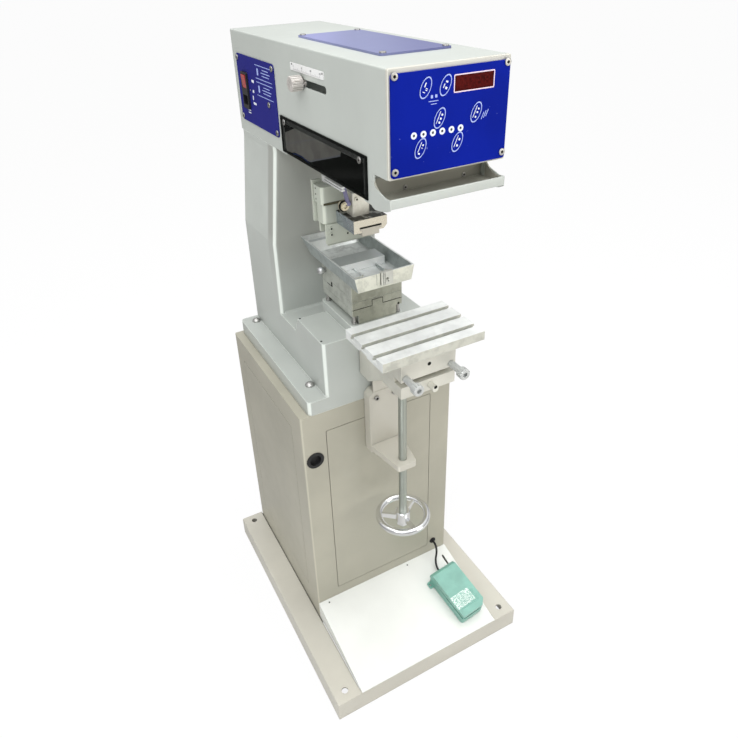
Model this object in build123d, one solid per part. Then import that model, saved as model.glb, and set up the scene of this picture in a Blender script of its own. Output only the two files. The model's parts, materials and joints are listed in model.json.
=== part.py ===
from build123d import *
import math
import os

# A pneumatic single-colour pad printer on a floor cabinet, in millimetres.
# X runs to the machine's right, the operator stands on the -Y side, +Z is up.
# The origin is on the floor, in the middle of the footprint.

# Clearances and working values
run_gap = 0.3
bore_gap = 0.05
overrun = 1.0
seam = 1.2
small_chamfer = 1.0

# Floor frame
base_half_width = 229.0
base_front = -290.0
base_rear = 300.0
rail_width = 56.0
rail_height = 48.0
rail_wall = 4.0
cross_bar_depth = 44.0
cross_bar_height = 30.0
cross_bar_thickness = 6.0
front_bar_depth = 12.0
bolt_hole_radius = 7.0
bolt_inset = 27.0
bolt_front_inset = 24.0
bolt_rear_inset = 20.0
rail_edge_radius = 3.0

# Tread plate, a folded sheet that climbs from the front bar to the cabinet
tread_rise = 48.0
tread_sheet = 2.5
tread_side_gap = 0.5
tread_slot_width = 5.0
tread_slot_length = 70.0
tread_slot_inset = 20.5
tread_slot_front_gap = 22.0

# Cabinet
cabinet_half_width = base_half_width - rail_width
cabinet_front = -82.0
cabinet_rear = 298.0
cabinet_top = 626.0
cabinet_wall = 3.0
cabinet_cap = 14.0
cabinet_edge_radius = 5.0
cover_inset = 52.0
cover_half_width = cabinet_half_width - cover_inset
cover_bottom = 122.0
cover_top_drop = 48.0
cover_top = cabinet_top - cover_top_drop
cover_sheet = 2.0
cover_lip = 12.0
cover_lip_sheet = 2.0
cover_corner_radius = 4.0
side_cover_front = -27.0
side_cover_rear = 251.0
side_cover_bottom = 108.0
side_cover_drop = 53.0
side_cover_top = cabinet_top - side_cover_drop
plug_inset = 24.0
plug_x = plug_inset - cabinet_half_width
plug_drop = 110.0
plug_z = cabinet_top - plug_drop
plug_radius = 17.0
plug_depth = 14.0
plug_flange_radius = 18.5
plug_flange = 1.5
plug_dish_radius = 12.0
grommet_inset = 36.0
grommet_x = cabinet_half_width - grommet_inset
grommet_z = 130.0
grommet_radius = 6.0
grommet_flange_radius = 8.0
grommet_flange = 2.0

# Casting: bolted flange, deck block and the column that carries the head
flange_half_width = 154.0
flange_thickness = 31.0
flange_corner_radius = 10.0
deck_half_width = 115.0
deck_height = 148.0
deck_z = cabinet_top + deck_height
deck_rear = 32.0
deck_rear_foot = 50.0
valley_drop = 34.0
valley_z = deck_z - valley_drop
column_front = 125.0
column_shoulder_rise = 121.0
column_shoulder_z = deck_z + column_shoulder_rise
column_shoulder_half_width = 115.0
column_height = 312.0
column_top = deck_z + column_height
column_neck_height = 12.0
column_neck_z = column_top - column_neck_height
column_half_width = 94.5
column_corner_radius = 9.0
foot_fillet = 7.0
cove_share = 1.2
casting_wall = 12.0
pedestal_half_width = 56.0
pedestal_x = 2.0
pedestal_front = -82.0
pedestal_rear = 52.0
pedestal_height = 19.0
pedestal_top = deck_z + pedestal_height
flange_bolt_x = 125.0
flange_bolt_front_y = -27.0
flange_bolt_rear_y = 272.0
flange_bolt_radius = 9.0
flange_bolt_dome = 7.0
flange_bolt_neck = 2.5

# Jack bracket and vertical way on the front of the casting
bracket_half_width = 35.0
bracket_rise = 24.0
bracket_top = cabinet_top + bracket_rise
bracket_height = 147.0
bracket_bottom = bracket_top - bracket_height
bracket_depth = 23.0
bracket_corner_cut = 9.0
way_root_half_width = 17.0
way_face_half_width = 26.0
way_depth = 22.0
way_top_drop = 4.0
way_top = deck_z - way_top_drop
lug_thickness = 13.0
lug_bottom_lift = 6.0
lug_nose_half_width = 20.0
lug_nose_gap = 20.0
lug_nose_radius = 6.0
bracket_screw_x = 20.0
bracket_screw_drop = 14.0
bracket_screw_radius = 5.0
bracket_screw_head = 5.0

# Lead screw and handwheel
screw_y = -170.0
screw_radius = 8.0
screw_reach = 153.0
screw_bottom = bracket_bottom - screw_reach
journal_radius = 6.0
journal_length = 18.0
seat_clear = 4.0
wheel_rise = 19.0
wheel_z = screw_bottom + wheel_rise
wheel_radius = 57.0
wheel_rim_radius = 7.0
wheel_dish = 14.0
wheel_hub_radius = 15.0
wheel_hub_height = 26.0
wheel_spokes = 3
spoke_width = 13.0
spoke_thickness = 7.0
spoke_tip_share = 0.7
wheel_nut_height = 8.0
wheel_nut_flats = 24.0
wheel_hub_chamfer = 1.5
wheel_first_spoke = 30.0

# Knee, saddle and slotted table
knee_half_width = 54.0
knee_front = -256.0
knee_back = -195.0
knee_drop = 35.0
knee_bottom = deck_z - knee_drop
knee_thickness = 23.0
knee_top = knee_bottom + knee_thickness
web_half_width = 42.0
web_height = 49.0
web_bottom = knee_bottom - web_height
web_rear_gap = 1.5
web_foot_depth = 34.0
saddle_front_gap_height = 10.0
saddle_front_gap_depth = 22.0
saddle_height = 57.0
saddle_top = knee_top + saddle_height
saddle_rear = -166.0
tongue_half_width = 18.0
tongue_height = 10.0
tongue_taper = 5.0
table_half_width = 98.5
table_front = -275.0
table_rear = -148.0
table_thickness = 17.0
table_top = saddle_top + table_thickness
key_front = -222.0
key_rear = -198.0
key_height = 3.0
slot_count = 3
slot_pitch = 38.0
slot_mouth = 9.0
slot_undercut = 15.0
slot_mouth_depth = 5.0
slot_depth = 10.0
clamp_screw_x = 45.0
clamp_screw_rise = 17.0
clamp_screw_z = knee_top + clamp_screw_rise
clamp_shank_radius = 5.0
clamp_head_radius = 10.0
clamp_head_length = 14.0
clamp_neck_length = 28.0
clamp_bore_depth = 16.0
clamp_flutes = 12
clamp_flute_radius = 1.2
clamp_hex_flats = 8.0
clamp_hex_depth = 5.0
stop_screw_x = 4.0
stop_screw_rise = 11.0
stop_screw_z = knee_bottom + stop_screw_rise
stop_screw_radius = 6.0
stop_screw_length = 17.0

# Cross stage under the ink tray
stage_x = 3.0
stage_half_width = 53.0
stage_front = -78.0
stage_rear = 46.0
stage_gap = 18.0
stage_bottom = pedestal_top + stage_gap
stage_base_thickness = 13.5
stage_base_top = stage_bottom + stage_base_thickness
stage_middle_thickness = 14.5
stage_middle_top = stage_base_top + stage_middle_thickness
stage_top_thickness = 38.0
stage_top_z = stage_middle_top + stage_top_thickness
stage_chamfer = 1.2
guide_half_width = 11.5
guide_height = 12.0
guide_seam = 0.5
cross_guide_front = -50.0
cross_guide_rear = 7.0
cross_guide_height = 9.0
stage_relief = 13.0
level_screw_radius = 4.0
level_screw_inset = 7.0
level_foot_radius = 5.5
level_foot_height = 4.0
ball_radius = 8.0
ball_y = 30.0
ball_drop = 12.5
ball_z = stage_top_z - ball_drop
ball_stem_radius = 3.0
ball_stem_length = 5.0
ball_bore_depth = 12.0

# Ink tray
tray_half_width = 60.0
tray_front = -114.0
tray_rear = 116.0
tray_height = 28.0
tray_top = stage_top_z + tray_height
tray_wall = 3.0
tray_floor = 4.0
tray_rear_low_y = 84.0
tray_flare = 6.0
shelf_front = -37.0
shelf_rear = 2.0
shelf_height = 16.0
shelf_right = 43.0
seat_half_width = 24.0
seat_front = -70.0
rib_width = 4.0
rib_height = 6.0
seat_drop = 2.0
clamp_half_width = 12.0
clamp_x = 3.0
clamp_thickness = 6.0
clamp_edge_radius = 1.2
clamp_rise = 1.0
clamp_screw_hole_radius = 2.6
clamp_groove_width = 1.6
clamp_groove_depth = 1.2
clamp_groove_inset = 3.2

# Head
head_half_width = 94.5
head_rear = 297.0
head_skin_front = -291.0
head_low_z = column_top
head_height = 185.0
head_top = head_low_z + head_height
head_skin = 2.0
head_box_height = 139.0
head_box_bottom = head_top - head_box_height
head_box_rear = -242.0
skin_toe_y = -256.0
window_front = -238.0
window_rear = 73.0
window_rise = 4.0
window_bottom = head_low_z + window_rise
window_height = 62.0
window_top = window_bottom + window_height
window_sheet = 2.0
window_frame = 12.0
window_screw_inset = 19.0
window_screw_drop = 9.0
knob_slot_front = -119.0
knob_slot_rear = 3.0
knob_slot_drop = 51.8
knob_slot_z = head_top - knob_slot_drop
knob_slot_height = 11.5
knob_stem_radius = 4.7
frame_plate = 12.0
beam_width = 12.0
beam_height = 30.0
bulkhead_front_y = -239.0
bulkhead_drop = 9.0
bulkhead_top = head_top - bulkhead_drop
top_opening_margin = 14.0
top_plate_x = 8.0
top_plate_half_width = 58.0
top_plate_front = -202.0
top_plate_rear = 78.0
top_plate_sheet = 3.0
top_plate_radius = 5.0
top_screw_inset = 7.0

# Front frame, control panel, display, lamps and keys
frame_front = -295.4
panel_face = -298.4
panel_half_width = 91.5
panel_rise = 3.0
panel_bottom = head_box_bottom + panel_rise
panel_drop = 6.5
panel_top = head_top - panel_drop
panel_height = panel_top - panel_bottom
panel_radius = 4.0
front_edge_radius = 2.5
front_edge_chamfer = 0.8
panel_screw_inset = 4.8
panel_screw_rise = 8.5
panel_screw_drop = 2.8
display_x = 34.2
display_rise_share = 0.8385
display_z = panel_bottom + display_rise_share * panel_height
display_width = 62.0
display_height = 20.0
display_depth = 2.0
display_sink = 0.5
lamp_count = 6
lamp_first_x = -58.0
lamp_pitch = 14.55
lamp_rise_share = 0.398
lamp_z = panel_bottom + lamp_rise_share * panel_height
lamp_radius = 3.2
lamp_depth = 1.2
key_half_long = 14.0
key_half_short = 7.6
key_tilt = 25.0
key_thickness = 1.4
key_proud = 0.4
key_travel = 0.5
key_gap = 0.4
key_rest_gap = 0.1
key_upper_share = 0.839
key_middle_share = 0.532
key_lower_share = 0.263
key_upper_z = panel_bottom + key_upper_share * panel_height
key_middle_z = panel_bottom + key_middle_share * panel_height
key_lower_z = panel_bottom + key_lower_share * panel_height
key_a_x = -41.0
key_b_x = -11.0
key_c_x = -19.0
key_d_x = 39.0
key_e_x = -48.0
key_f_x = 10.0

# Left side plate, inlet, rocker, scale and stroke knob
side_plate_front = 84.0
side_plate_rear = 276.0
side_plate_rise = 23.5
side_plate_bottom = head_low_z + side_plate_rise
side_plate_height = 122.0
side_plate_top = side_plate_bottom + side_plate_height
side_plate_sheet = 1.5
side_plate_radius = 8.0
side_screw_inset = 7.5
side_extra_screw_y = 119.4
side_extra_screw_rise = 51.0
side_extra_screw_z = side_plate_bottom + side_extra_screw_rise
inlet_y = 235.0
inlet_width = 30.0
inlet_rise = 26.5
inlet_bottom = side_plate_bottom + inlet_rise
inlet_height = 66.0
inlet_top = inlet_bottom + inlet_height
inlet_proud = 4.0
inlet_depth = 26.0
inlet_socket_width = 23.0
inlet_socket_height = 17.0
inlet_socket_depth = 16.0
inlet_socket_rise = 16.0
inlet_socket_z = inlet_bottom + inlet_socket_rise
inlet_flange = 3.0
rocker_drop = 16.5
rocker_z = inlet_top - rocker_drop
rocker_width = 20.0
rocker_height = 24.0
rocker_depth = 9.0
rocker_gap = 0.5
rocker_swing = 10.0
rocker_pin_radius = 1.0
rocker_pin_depth = 1.4
rocker_pin_length = 22.6
rocker_back = 2.2
scale_front = -114.0
scale_rear = 8.0
scale_drop = 26.0
scale_top = head_top - scale_drop
scale_height = 11.5
scale_bottom = scale_top - scale_height
scale_sheet = 1.0
knob_y = -33.0
knob_radius = 11.7
knob_length = 21.0
knob_collar_radius = 7.0
knob_flutes = 16
knob_flute_radius = 1.1

# Catch trough under the front box
trough_front = -299.0
trough_lip_drop = 25.0
trough_lip_z = head_box_bottom - trough_lip_drop
trough_drop = 37.0
trough_bottom = head_box_bottom - trough_drop
trough_back_drop = 10.0
trough_back_top = head_box_bottom - trough_back_drop
trough_sheet = 2.0
trough_bend = 9.0

# Carriage, cylinders and pad
rod_x = 52.0
rod_rise = 41.0
rod_z = head_low_z + rod_rise
guide_rod_radius = 8.0
carriage_half_width = 70.0
carriage_front = -66.0
carriage_rear = 48.0
carriage_half_height = 23.0
carriage_bottom = rod_z - carriage_half_height
carriage_top = rod_z + carriage_half_height
carriage_corner_radius = 6.0
pad_y = -31.0
pad_cylinder_half = 26.0
pad_cylinder_drop = 25.0
pad_cylinder_top = head_top - pad_cylinder_drop
pad_cylinder_radius = 7.0
ram_radius = 9.0
ram_drop = 10.0
ram_top = pad_cylinder_top - ram_drop
ram_foot_x = -6.0
ram_foot_half_x = 17.0
ram_foot_half_y = 14.0
ram_foot_height = 42.0
ram_screw_inset = 8.0
ram_screw_drop = 11.0
ram_screw_radius = 4.0
ram_screw_head = 2.5
ram_screw_hex = 4.0
block_half_width = 33.0
block_front = -66.0
block_rear = 3.0
block_drop = 138.0
block_top = rod_z - block_drop
block_height = 24.0
block_bottom = block_top - block_height
block_chamfer = 7.0
insert_half_width = 21.0
insert_wing = 4.0
insert_wing_thickness = 4.5
insert_top_gap = 1.8
insert_drop = 7.0
insert_slot_floor = 13.5
stroke_barrel_radius = 20.0
stroke_bore_radius = 16.0
stroke_barrel_front = 126.0
stroke_rod_radius = 6.0
stroke_cap = 4.0
stroke_travel = 150.0
stroke_end_clear = 2.5
piston_length = 5.0

# Doctoring unit hung from the carriage
lift_rod_radius = 3.5
lift_rod_left_x = -38.0
lift_rod_right_x = 20.0
lift_rod_y = 26.0
lift_rod_rise = 19.0
lift_rod_top = rod_z + lift_rod_rise
tier_left = -57.0
tier_right = -13.0
tier_front = 10.0
tier_drop = 95.0
upper_tier_top = rod_z - tier_drop
upper_tier_height = 32.0
upper_tier_bottom = upper_tier_top - upper_tier_height
lower_tier_height = 39.0
lower_tier_bottom = upper_tier_bottom - lower_tier_height
lower_tier_inset = 4.0
tier_radius = 8.0
carrier_left = -59.0
carrier_right = 30.0
carrier_front = 42.0
carrier_rear = 48.0
carrier_reach = 23.0
carrier_bottom = lower_tier_bottom - carrier_reach
carrier_rise = 6.0
carrier_top = upper_tier_top + carrier_rise
carrier_step_x = -48.0
doctor_left = -52.0
doctor_right = 50.0
doctor_top = lower_tier_bottom
doctor_height = 38.0
doctor_bottom = doctor_top - doctor_height
doctor_thickness = 4.0
doctor_corner_radius = 2.0
doctor_screw_x = -42.0
doctor_screw_upper_drop = 7.6
doctor_screw_lower_drop = 19.0
doctor_screw_radius = 3.4
doctor_screw_head = 3.0
blade_reach = 4.0
blade_thickness = 0.8
blade_height = 16.0

# Screws on the head, one kind
head_screw_radius = 5.0
head_screw_head = 2.0
panel_screw_head = 1.6

# Foot switch
pedal_front_y = -262.0
pedal_rear_y = -140.0
pedal_inset = 47.0
pedal_x = cabinet_half_width - pedal_inset
pedal_half_width = 34.0
pedal_turn = 6.0
pedal_base_height = 12.0
pedal_wall_height = 17.0
pedal_wall = 4.0
pedal_cover_rear_height = 34.0
pedal_cover_thickness = 7.0
pedal_gap = 1.0
pedal_pin_radius = 3.0
pedal_pin_height = 13.0
pedal_pin_inset = 16.0
pedal_swing = 4.0
pedal_ear_length = 10.0
pedal_ear_half_width = 8.0
pedal_ear_hole_radius = 3.0
pedal_corner_radius = 6.6
pedal_corner_cut = 12.0
pedal_ear_radius = 4.0
pedal_ridge_count = 8
pedal_ridge_width = 1.6
pedal_ridge_pitch = 3.6
pedal_ridge_height = 0.9
pedal_ridge_half_length = 25.0
pedal_ridge_middle = -32.0

# Cable from the foot switch to the cabinet
cable_radius = 2.5
cable_stub = 22.0
cable_bend_share = 0.45


def block(x, y, z):
    """A rectangular block between two values on each axis."""
    size = Box(x[1] - x[0], y[1] - y[0], z[1] - z[0], align=(Align.MIN, Align.MIN, Align.MIN))
    return Pos(x[0], y[0], z[0]) * size


def across(half):
    """A pair of values symmetric about the machine's middle plane."""
    return (-half, half)


def profile_x(points, x):
    """A profile in (Y, Z) carried along X."""
    outline = Plane.YZ.offset(x[0]) * make_face(Polyline(points, close=True))
    return extrude(outline, amount=x[1] - x[0])


def profile_y(points, y):
    """A profile in (X, Z) carried along Y."""
    back = Plane(origin=(0, y[1], 0), x_dir=(1, 0, 0), z_dir=(0, -1, 0))
    return extrude(back * make_face(Polyline(points, close=True)), amount=y[1] - y[0])


def profile_z(points, z):
    """A profile in (X, Y) carried along Z."""
    outline = Plane.XY.offset(z[0]) * make_face(Polyline(points, close=True))
    return extrude(outline, amount=z[1] - z[0])


def rod_x_axis(y, z, radius, x):
    """A round bar along X."""
    return extrude(Plane(origin=(x[0], y, z), z_dir=(1, 0, 0)) * Circle(radius), amount=x[1] - x[0])


def rod_y_axis(x, z, radius, y):
    """A round bar along Y."""
    return extrude(Plane(origin=(x, y[0], z), z_dir=(0, 1, 0)) * Circle(radius), amount=y[1] - y[0])


def rod_z_axis(x, y, radius, z):
    """A round bar along Z."""
    return extrude(Plane(origin=(x, y, z[0])) * Circle(radius), amount=z[1] - z[0])


def plate_y(x, z, y, radius):
    """A plate facing the operator, with rounded corners."""
    face = Plane(origin=((x[0] + x[1]) / 2, y[1], (z[0] + z[1]) / 2), x_dir=(1, 0, 0), z_dir=(0, -1, 0))
    return extrude(face * RectangleRounded(x[1] - x[0], z[1] - z[0], radius), amount=y[1] - y[0])


def plate_x(y, z, x, radius):
    """A plate facing sideways, with rounded corners."""
    face = Plane(origin=(x[0], (y[0] + y[1]) / 2, (z[0] + z[1]) / 2), x_dir=(0, 1, 0), z_dir=(1, 0, 0))
    return extrude(face * RectangleRounded(y[1] - y[0], z[1] - z[0], radius), amount=x[1] - x[0])


def plate_z(x, y, z, radius):
    """A lying plate with rounded corners."""
    face = Plane(origin=((x[0] + x[1]) / 2, (y[0] + y[1]) / 2, z[0]))
    return extrude(face * RectangleRounded(x[1] - x[0], y[1] - y[0], radius), amount=z[1] - z[0])


# Floor frame and tread

def base_frame():
    """Two folded side rails joined by a front bar and two flat bars under the cabinet."""
    inner = base_half_width - rail_width
    solid = block((-inner - overrun, inner + overrun), (base_front, base_front + front_bar_depth), (0, rail_height))
    for side in (-1, 1):
        ends = sorted((side * inner, side * base_half_width))
        rail = block(ends, (base_front, base_rear), (0, rail_height))
        edge = rail.edges().filter_by(Axis.Y).filter_by_position(Axis.Z, rail_height, rail_height)
        rail = fillet(edge, rail_edge_radius)
        hollow = (ends[0] + rail_wall, ends[1] - rail_wall)
        rail -= block(hollow, (base_front + rail_wall, base_rear - rail_wall), (-overrun, rail_height - rail_wall))
        solid += rail
    for start in (cabinet_front, cabinet_rear - cross_bar_depth):
        solid += block(across(inner + overrun), (start, start + cross_bar_depth),
                       (cross_bar_height - cross_bar_thickness, cross_bar_height))
    for x, y in base_hole_places():
        solid -= rod_z_axis(x, y, bolt_hole_radius, (-overrun, rail_height + overrun))
    return solid


def base_hole_places():
    """Centres of the four floor bolts."""
    x = base_half_width - bolt_inset
    front = base_front + bolt_front_inset
    rear = base_rear - bolt_rear_inset
    return [(-x, front), (x, front), (-x, rear), (x, rear)]


def tread_plate():
    """A folded sheet wedge between the rails, climbing to the cabinet."""
    half = base_half_width - rail_width - tread_side_gap
    low = rail_height
    high = rail_height + tread_rise
    skin = [(base_front, low), (cabinet_front, high), (cabinet_front, high - tread_sheet),
            (base_front + tread_sheet, low)]
    solid = profile_x(skin, across(half))
    cheek = [(base_front + tread_sheet, low), (cabinet_front, high - tread_sheet), (cabinet_front, low),
             (base_front + front_bar_depth, low)]
    for side in (-1, 1):
        ends = sorted((side * half, side * (half - tread_sheet)))
        solid += profile_x(cheek, ends)
    back = block(across(half), (cabinet_front - tread_sheet, cabinet_front), (low, high - tread_sheet))
    solid += back
    slot_rear = cabinet_front - tread_slot_front_gap
    slot_x = half - tread_slot_inset
    slot = block((slot_x - tread_slot_width / 2, slot_x + tread_slot_width / 2),
                 (slot_rear - tread_slot_length, slot_rear), (low, high + overrun))
    return solid - slot


# Cabinet

def cabinet_shell():
    """Welded sheet cabinet with a thick cap and stepped openings for its inset covers."""
    half = base_half_width - rail_width
    outer = block(across(half), (cabinet_front, cabinet_rear), (cross_bar_height, cabinet_top))
    outer = fillet(outer.edges().filter_by(Axis.Z), cabinet_edge_radius)
    inside = block(across(half - cabinet_wall), (cabinet_front + cabinet_wall, cabinet_rear - cabinet_wall),
                   (cross_bar_height + cabinet_wall, cabinet_top - cabinet_cap))
    solid = outer - inside
    lips = cover_sheet + cover_lip_sheet
    ring = block(across(cover_half_width + cover_lip), (cabinet_front + cover_sheet, cabinet_front + lips),
                 (cover_bottom - cover_lip, cover_top + cover_lip))
    solid += ring
    for side in (-1, 1):
        ends = sorted((side * (half - cover_sheet), side * (half - lips)))
        solid += block(ends, (side_cover_front - cover_lip, side_cover_rear + cover_lip),
                       (side_cover_bottom - cover_lip, side_cover_top + cover_lip))
    solid -= plate_y(across(cover_half_width + seam), (cover_bottom - seam, cover_top + seam),
                     (cabinet_front - overrun, cabinet_front + cover_sheet), cover_corner_radius)
    solid -= block(across(cover_half_width - cover_lip), (cabinet_front - overrun, cabinet_front + lips + overrun),
                   (cover_bottom + cover_lip, cover_top - cover_lip))
    for side in (-1, 1):
        outer_x = side * (half + overrun)
        recess = sorted((outer_x, side * (half - cover_sheet)))
        through = sorted((outer_x, side * (half - lips - overrun)))
        solid -= plate_x((side_cover_front - seam, side_cover_rear + seam),
                         (side_cover_bottom - seam, side_cover_top + seam), recess, cover_corner_radius)
        solid -= block(through, (side_cover_front + cover_lip, side_cover_rear - cover_lip),
                       (side_cover_bottom + cover_lip, side_cover_top - cover_lip))
    holes = (cabinet_front - overrun, cabinet_front + cabinet_wall + overrun)
    solid -= rod_y_axis(plug_x, plug_z, plug_radius, holes)
    solid -= rod_y_axis(grommet_x, grommet_z, grommet_radius, holes)
    return solid


def front_cover_panel():
    """The inset front cover, flush with the cabinet face."""
    return plate_y(across(cover_half_width), (cover_bottom, cover_top),
                   (cabinet_front, cabinet_front + cover_sheet), cover_corner_radius)


def side_cover_panels():
    """The inset covers of both sides."""
    half = base_half_width - rail_width
    covers = []
    for side in (-1, 1):
        ends = sorted((side * half, side * (half - cover_sheet)))
        covers.append(plate_x((side_cover_front, side_cover_rear), (side_cover_bottom, side_cover_top),
                              ends, cover_corner_radius))
    return Compound(children=[solid_of(cover) for cover in covers])


def hole_plug():
    """A dished rubber plug in the large round hole."""
    flange = rod_y_axis(plug_x, plug_z, plug_flange_radius, (cabinet_front - plug_flange, cabinet_front))
    body = rod_y_axis(plug_x, plug_z, plug_radius, (cabinet_front, cabinet_front + plug_depth))
    dish = rod_y_axis(plug_x, plug_z, plug_dish_radius,
                      (cabinet_front - plug_flange - overrun, cabinet_front + plug_depth / 2))
    return flange + body - dish


def cable_grommet():
    """A rubber grommet whose back is closed round the foot switch cable."""
    flange = rod_y_axis(grommet_x, grommet_z, grommet_flange_radius, (cabinet_front - grommet_flange, cabinet_front))
    body = rod_y_axis(grommet_x, grommet_z, grommet_radius, (cabinet_front, cabinet_front + cabinet_wall))
    return fillet(flange.edges().sort_by(Axis.Y)[0], grommet_flange / 2) + body


# Casting

def column_section(half_width, front, z):
    """One level of the column, round cornered in front."""
    depth = head_rear - front
    place = Plane(origin=(0, (front + head_rear) / 2, z))
    return place * RectangleRounded(2 * half_width, depth, column_corner_radius)


def cast_frame():
    """The grey iron casting: flange, deck block, flared foot and hollow column."""
    low = cabinet_top
    flange_top = low + flange_thickness
    flange = plate_z(across(flange_half_width), (cabinet_front, head_rear), (low, flange_top), flange_corner_radius)
    side = [(cabinet_front, low), (cabinet_front, deck_z), (deck_rear, deck_z), (deck_rear_foot, valley_z),
            (head_rear, valley_z), (head_rear, low)]
    deck = profile_x(side, across(deck_half_width))
    fronts = deck.edges().filter_by(Axis.Z)
    deck = fillet(fronts, column_corner_radius)
    foot = loft([column_section(column_shoulder_half_width, column_front, valley_z - overrun),
                 column_section(column_shoulder_half_width, column_front, column_shoulder_z)], ruled=True)
    cove = [(column_front + overrun, valley_z + foot_fillet), (column_front - foot_fillet, valley_z),
            (column_front + overrun, valley_z - overrun)]
    toe = RadiusArc(cove[0], cove[1], foot_fillet * cove_share) + Polyline([cove[1], cove[2], cove[0]])
    foot += extrude(Plane.YZ.offset(-deck_half_width + column_corner_radius) * make_face(toe),
                    amount=2 * (deck_half_width - column_corner_radius))
    shaft = loft([column_section(column_shoulder_half_width, column_front, column_shoulder_z),
                  column_section(column_half_width, column_front, column_neck_z)], ruled=True)
    neck = loft([column_section(column_half_width, column_front, column_neck_z),
                 column_section(column_half_width, column_front, column_top)], ruled=True)
    pedestal = plate_z((pedestal_x - pedestal_half_width, pedestal_x + pedestal_half_width),
                       (pedestal_front, pedestal_rear), (valley_z - overrun, pedestal_top), column_corner_radius)
    solid = flange + deck + foot + shaft + neck + pedestal
    inner = deck_half_width - casting_wall
    core = block(across(inner), (cabinet_front + casting_wall, head_rear - casting_wall),
                 (low - overrun, valley_z - casting_wall))
    column_inner = column_half_width - casting_wall
    core += block(across(column_inner), (column_front + casting_wall, head_rear - casting_wall),
                  (valley_z - casting_wall - overrun, column_top - casting_wall))
    return solid - core


def casting_screws():
    """Four domed screws that hold the casting on the cabinet, and two that hold the jack bracket."""
    seat = cabinet_top + flange_thickness
    bolts = []
    for x in across(flange_bolt_x):
        for y in (flange_bolt_front_y, flange_bolt_rear_y):
            points = [(0, seat), (flange_bolt_radius, seat), (flange_bolt_radius, seat + flange_bolt_neck)]
            top = (0, seat + flange_bolt_dome)
            outline = Polyline(points) + RadiusArc(points[-1], top, -dome_radius()) + Line(top, points[0])
            bolts.append(Pos(x, y, 0) * revolve(Plane.XZ * make_face(outline), Axis.Z))
    face = cabinet_front - bracket_depth
    for x in across(bracket_screw_x):
        head = rod_y_axis(x, bracket_top - bracket_screw_drop, bracket_screw_radius,
                          (face - bracket_screw_head, face))
        bolts.append(chamfer(head.edges().sort_by(Axis.Y)[0], small_chamfer))
    return Compound(children=[solid_of(bolt) for bolt in bolts])


def dome_radius():
    """Radius of the ball that a dome of the flange bolt belongs to."""
    height = flange_bolt_dome - flange_bolt_neck
    return (flange_bolt_radius ** 2 + height ** 2) / (2 * height)


# Jack bracket, screw and handwheel

def jack_bracket():
    """Bolted plate with the tapering lug for the screw, and the dovetail way above it."""
    face = cabinet_front - bracket_depth
    left, right = across(bracket_half_width)
    cut = bracket_corner_cut
    plate_outline = [(left, bracket_bottom), (right, bracket_bottom), (right, bracket_top - cut),
                     (right - cut, bracket_top), (left + cut, bracket_top), (left, bracket_top - cut)]
    solid = profile_y(plate_outline, (face, cabinet_front))
    nose = screw_y - lug_nose_gap
    lug_bottom = bracket_bottom + lug_bottom_lift
    lug_outline = [(left, face), (-lug_nose_half_width, nose), (lug_nose_half_width, nose), (right, face)]
    lug = profile_z(lug_outline, (lug_bottom, lug_bottom + lug_thickness))
    lug = fillet(lug.edges().filter_by(Axis.Z).sort_by(Axis.Y)[:2], lug_nose_radius)
    rib = profile_x([(face, lug_bottom), (face - bracket_depth, lug_bottom), (face, bracket_bottom)],
                    across(bracket_half_width - cut))
    way_face = cabinet_front - way_depth
    way = profile_z([(-way_root_half_width, cabinet_front), (-way_face_half_width, way_face),
                     (way_face_half_width, way_face), (way_root_half_width, cabinet_front)],
                    (bracket_top - overrun, way_top))
    solid = solid + lug + rib + way
    return solid - rod_z_axis(0, screw_y, screw_radius + bore_gap, (lug_bottom - overrun,
                                                                     lug_bottom + lug_thickness + overrun))


def lead_screw():
    """Steel screw whose shouldered journal turns in the knee."""
    journal_end = knee_bottom + journal_length - overrun
    shank = rod_z_axis(0, screw_y, screw_radius, (screw_bottom, knee_bottom))
    shank = chamfer(shank.edges().sort_by(Axis.Z)[0], small_chamfer)
    return shank + rod_z_axis(0, screw_y, journal_radius, (knee_bottom, journal_end))


def handwheel():
    """Chromed dished wheel with a round rim, tapering spokes and a nut under its hub."""
    rim_path = wheel_radius - wheel_rim_radius
    rim = Pos(0, screw_y, wheel_z) * Torus(rim_path, wheel_rim_radius)
    hub_low = wheel_z - wheel_dish
    hub = rod_z_axis(0, screw_y, wheel_hub_radius, (hub_low, hub_low + wheel_hub_height))
    hub = chamfer(hub.edges().filter_by(GeomType.CIRCLE), wheel_hub_chamfer)
    solid = rim + hub
    for index in range(wheel_spokes):
        root = Plane(origin=(0, 0, hub_low + spoke_thickness), z_dir=(1, 0, 0))
        tip = Plane(origin=(rim_path, 0, wheel_z), z_dir=(1, 0, 0))
        spoke = loft([root * Rectangle(spoke_width, spoke_thickness),
                      tip * Rectangle(spoke_width * spoke_tip_share, spoke_thickness * spoke_tip_share)])
        turn = wheel_first_spoke + index * 360 / wheel_spokes
        solid += Pos(0, screw_y, 0) * Rot(0, 0, turn) * spoke
    nut = Pos(0, screw_y, hub_low - wheel_nut_height) * RegularPolygon(wheel_nut_flats / 2, 6, major_radius=False)
    solid += extrude(nut, amount=wheel_nut_height)
    return solid - rod_z_axis(0, screw_y, screw_radius, (hub_low - wheel_nut_height - overrun,
                                                         wheel_z + wheel_hub_height))


# Knee, saddle and table

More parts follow.
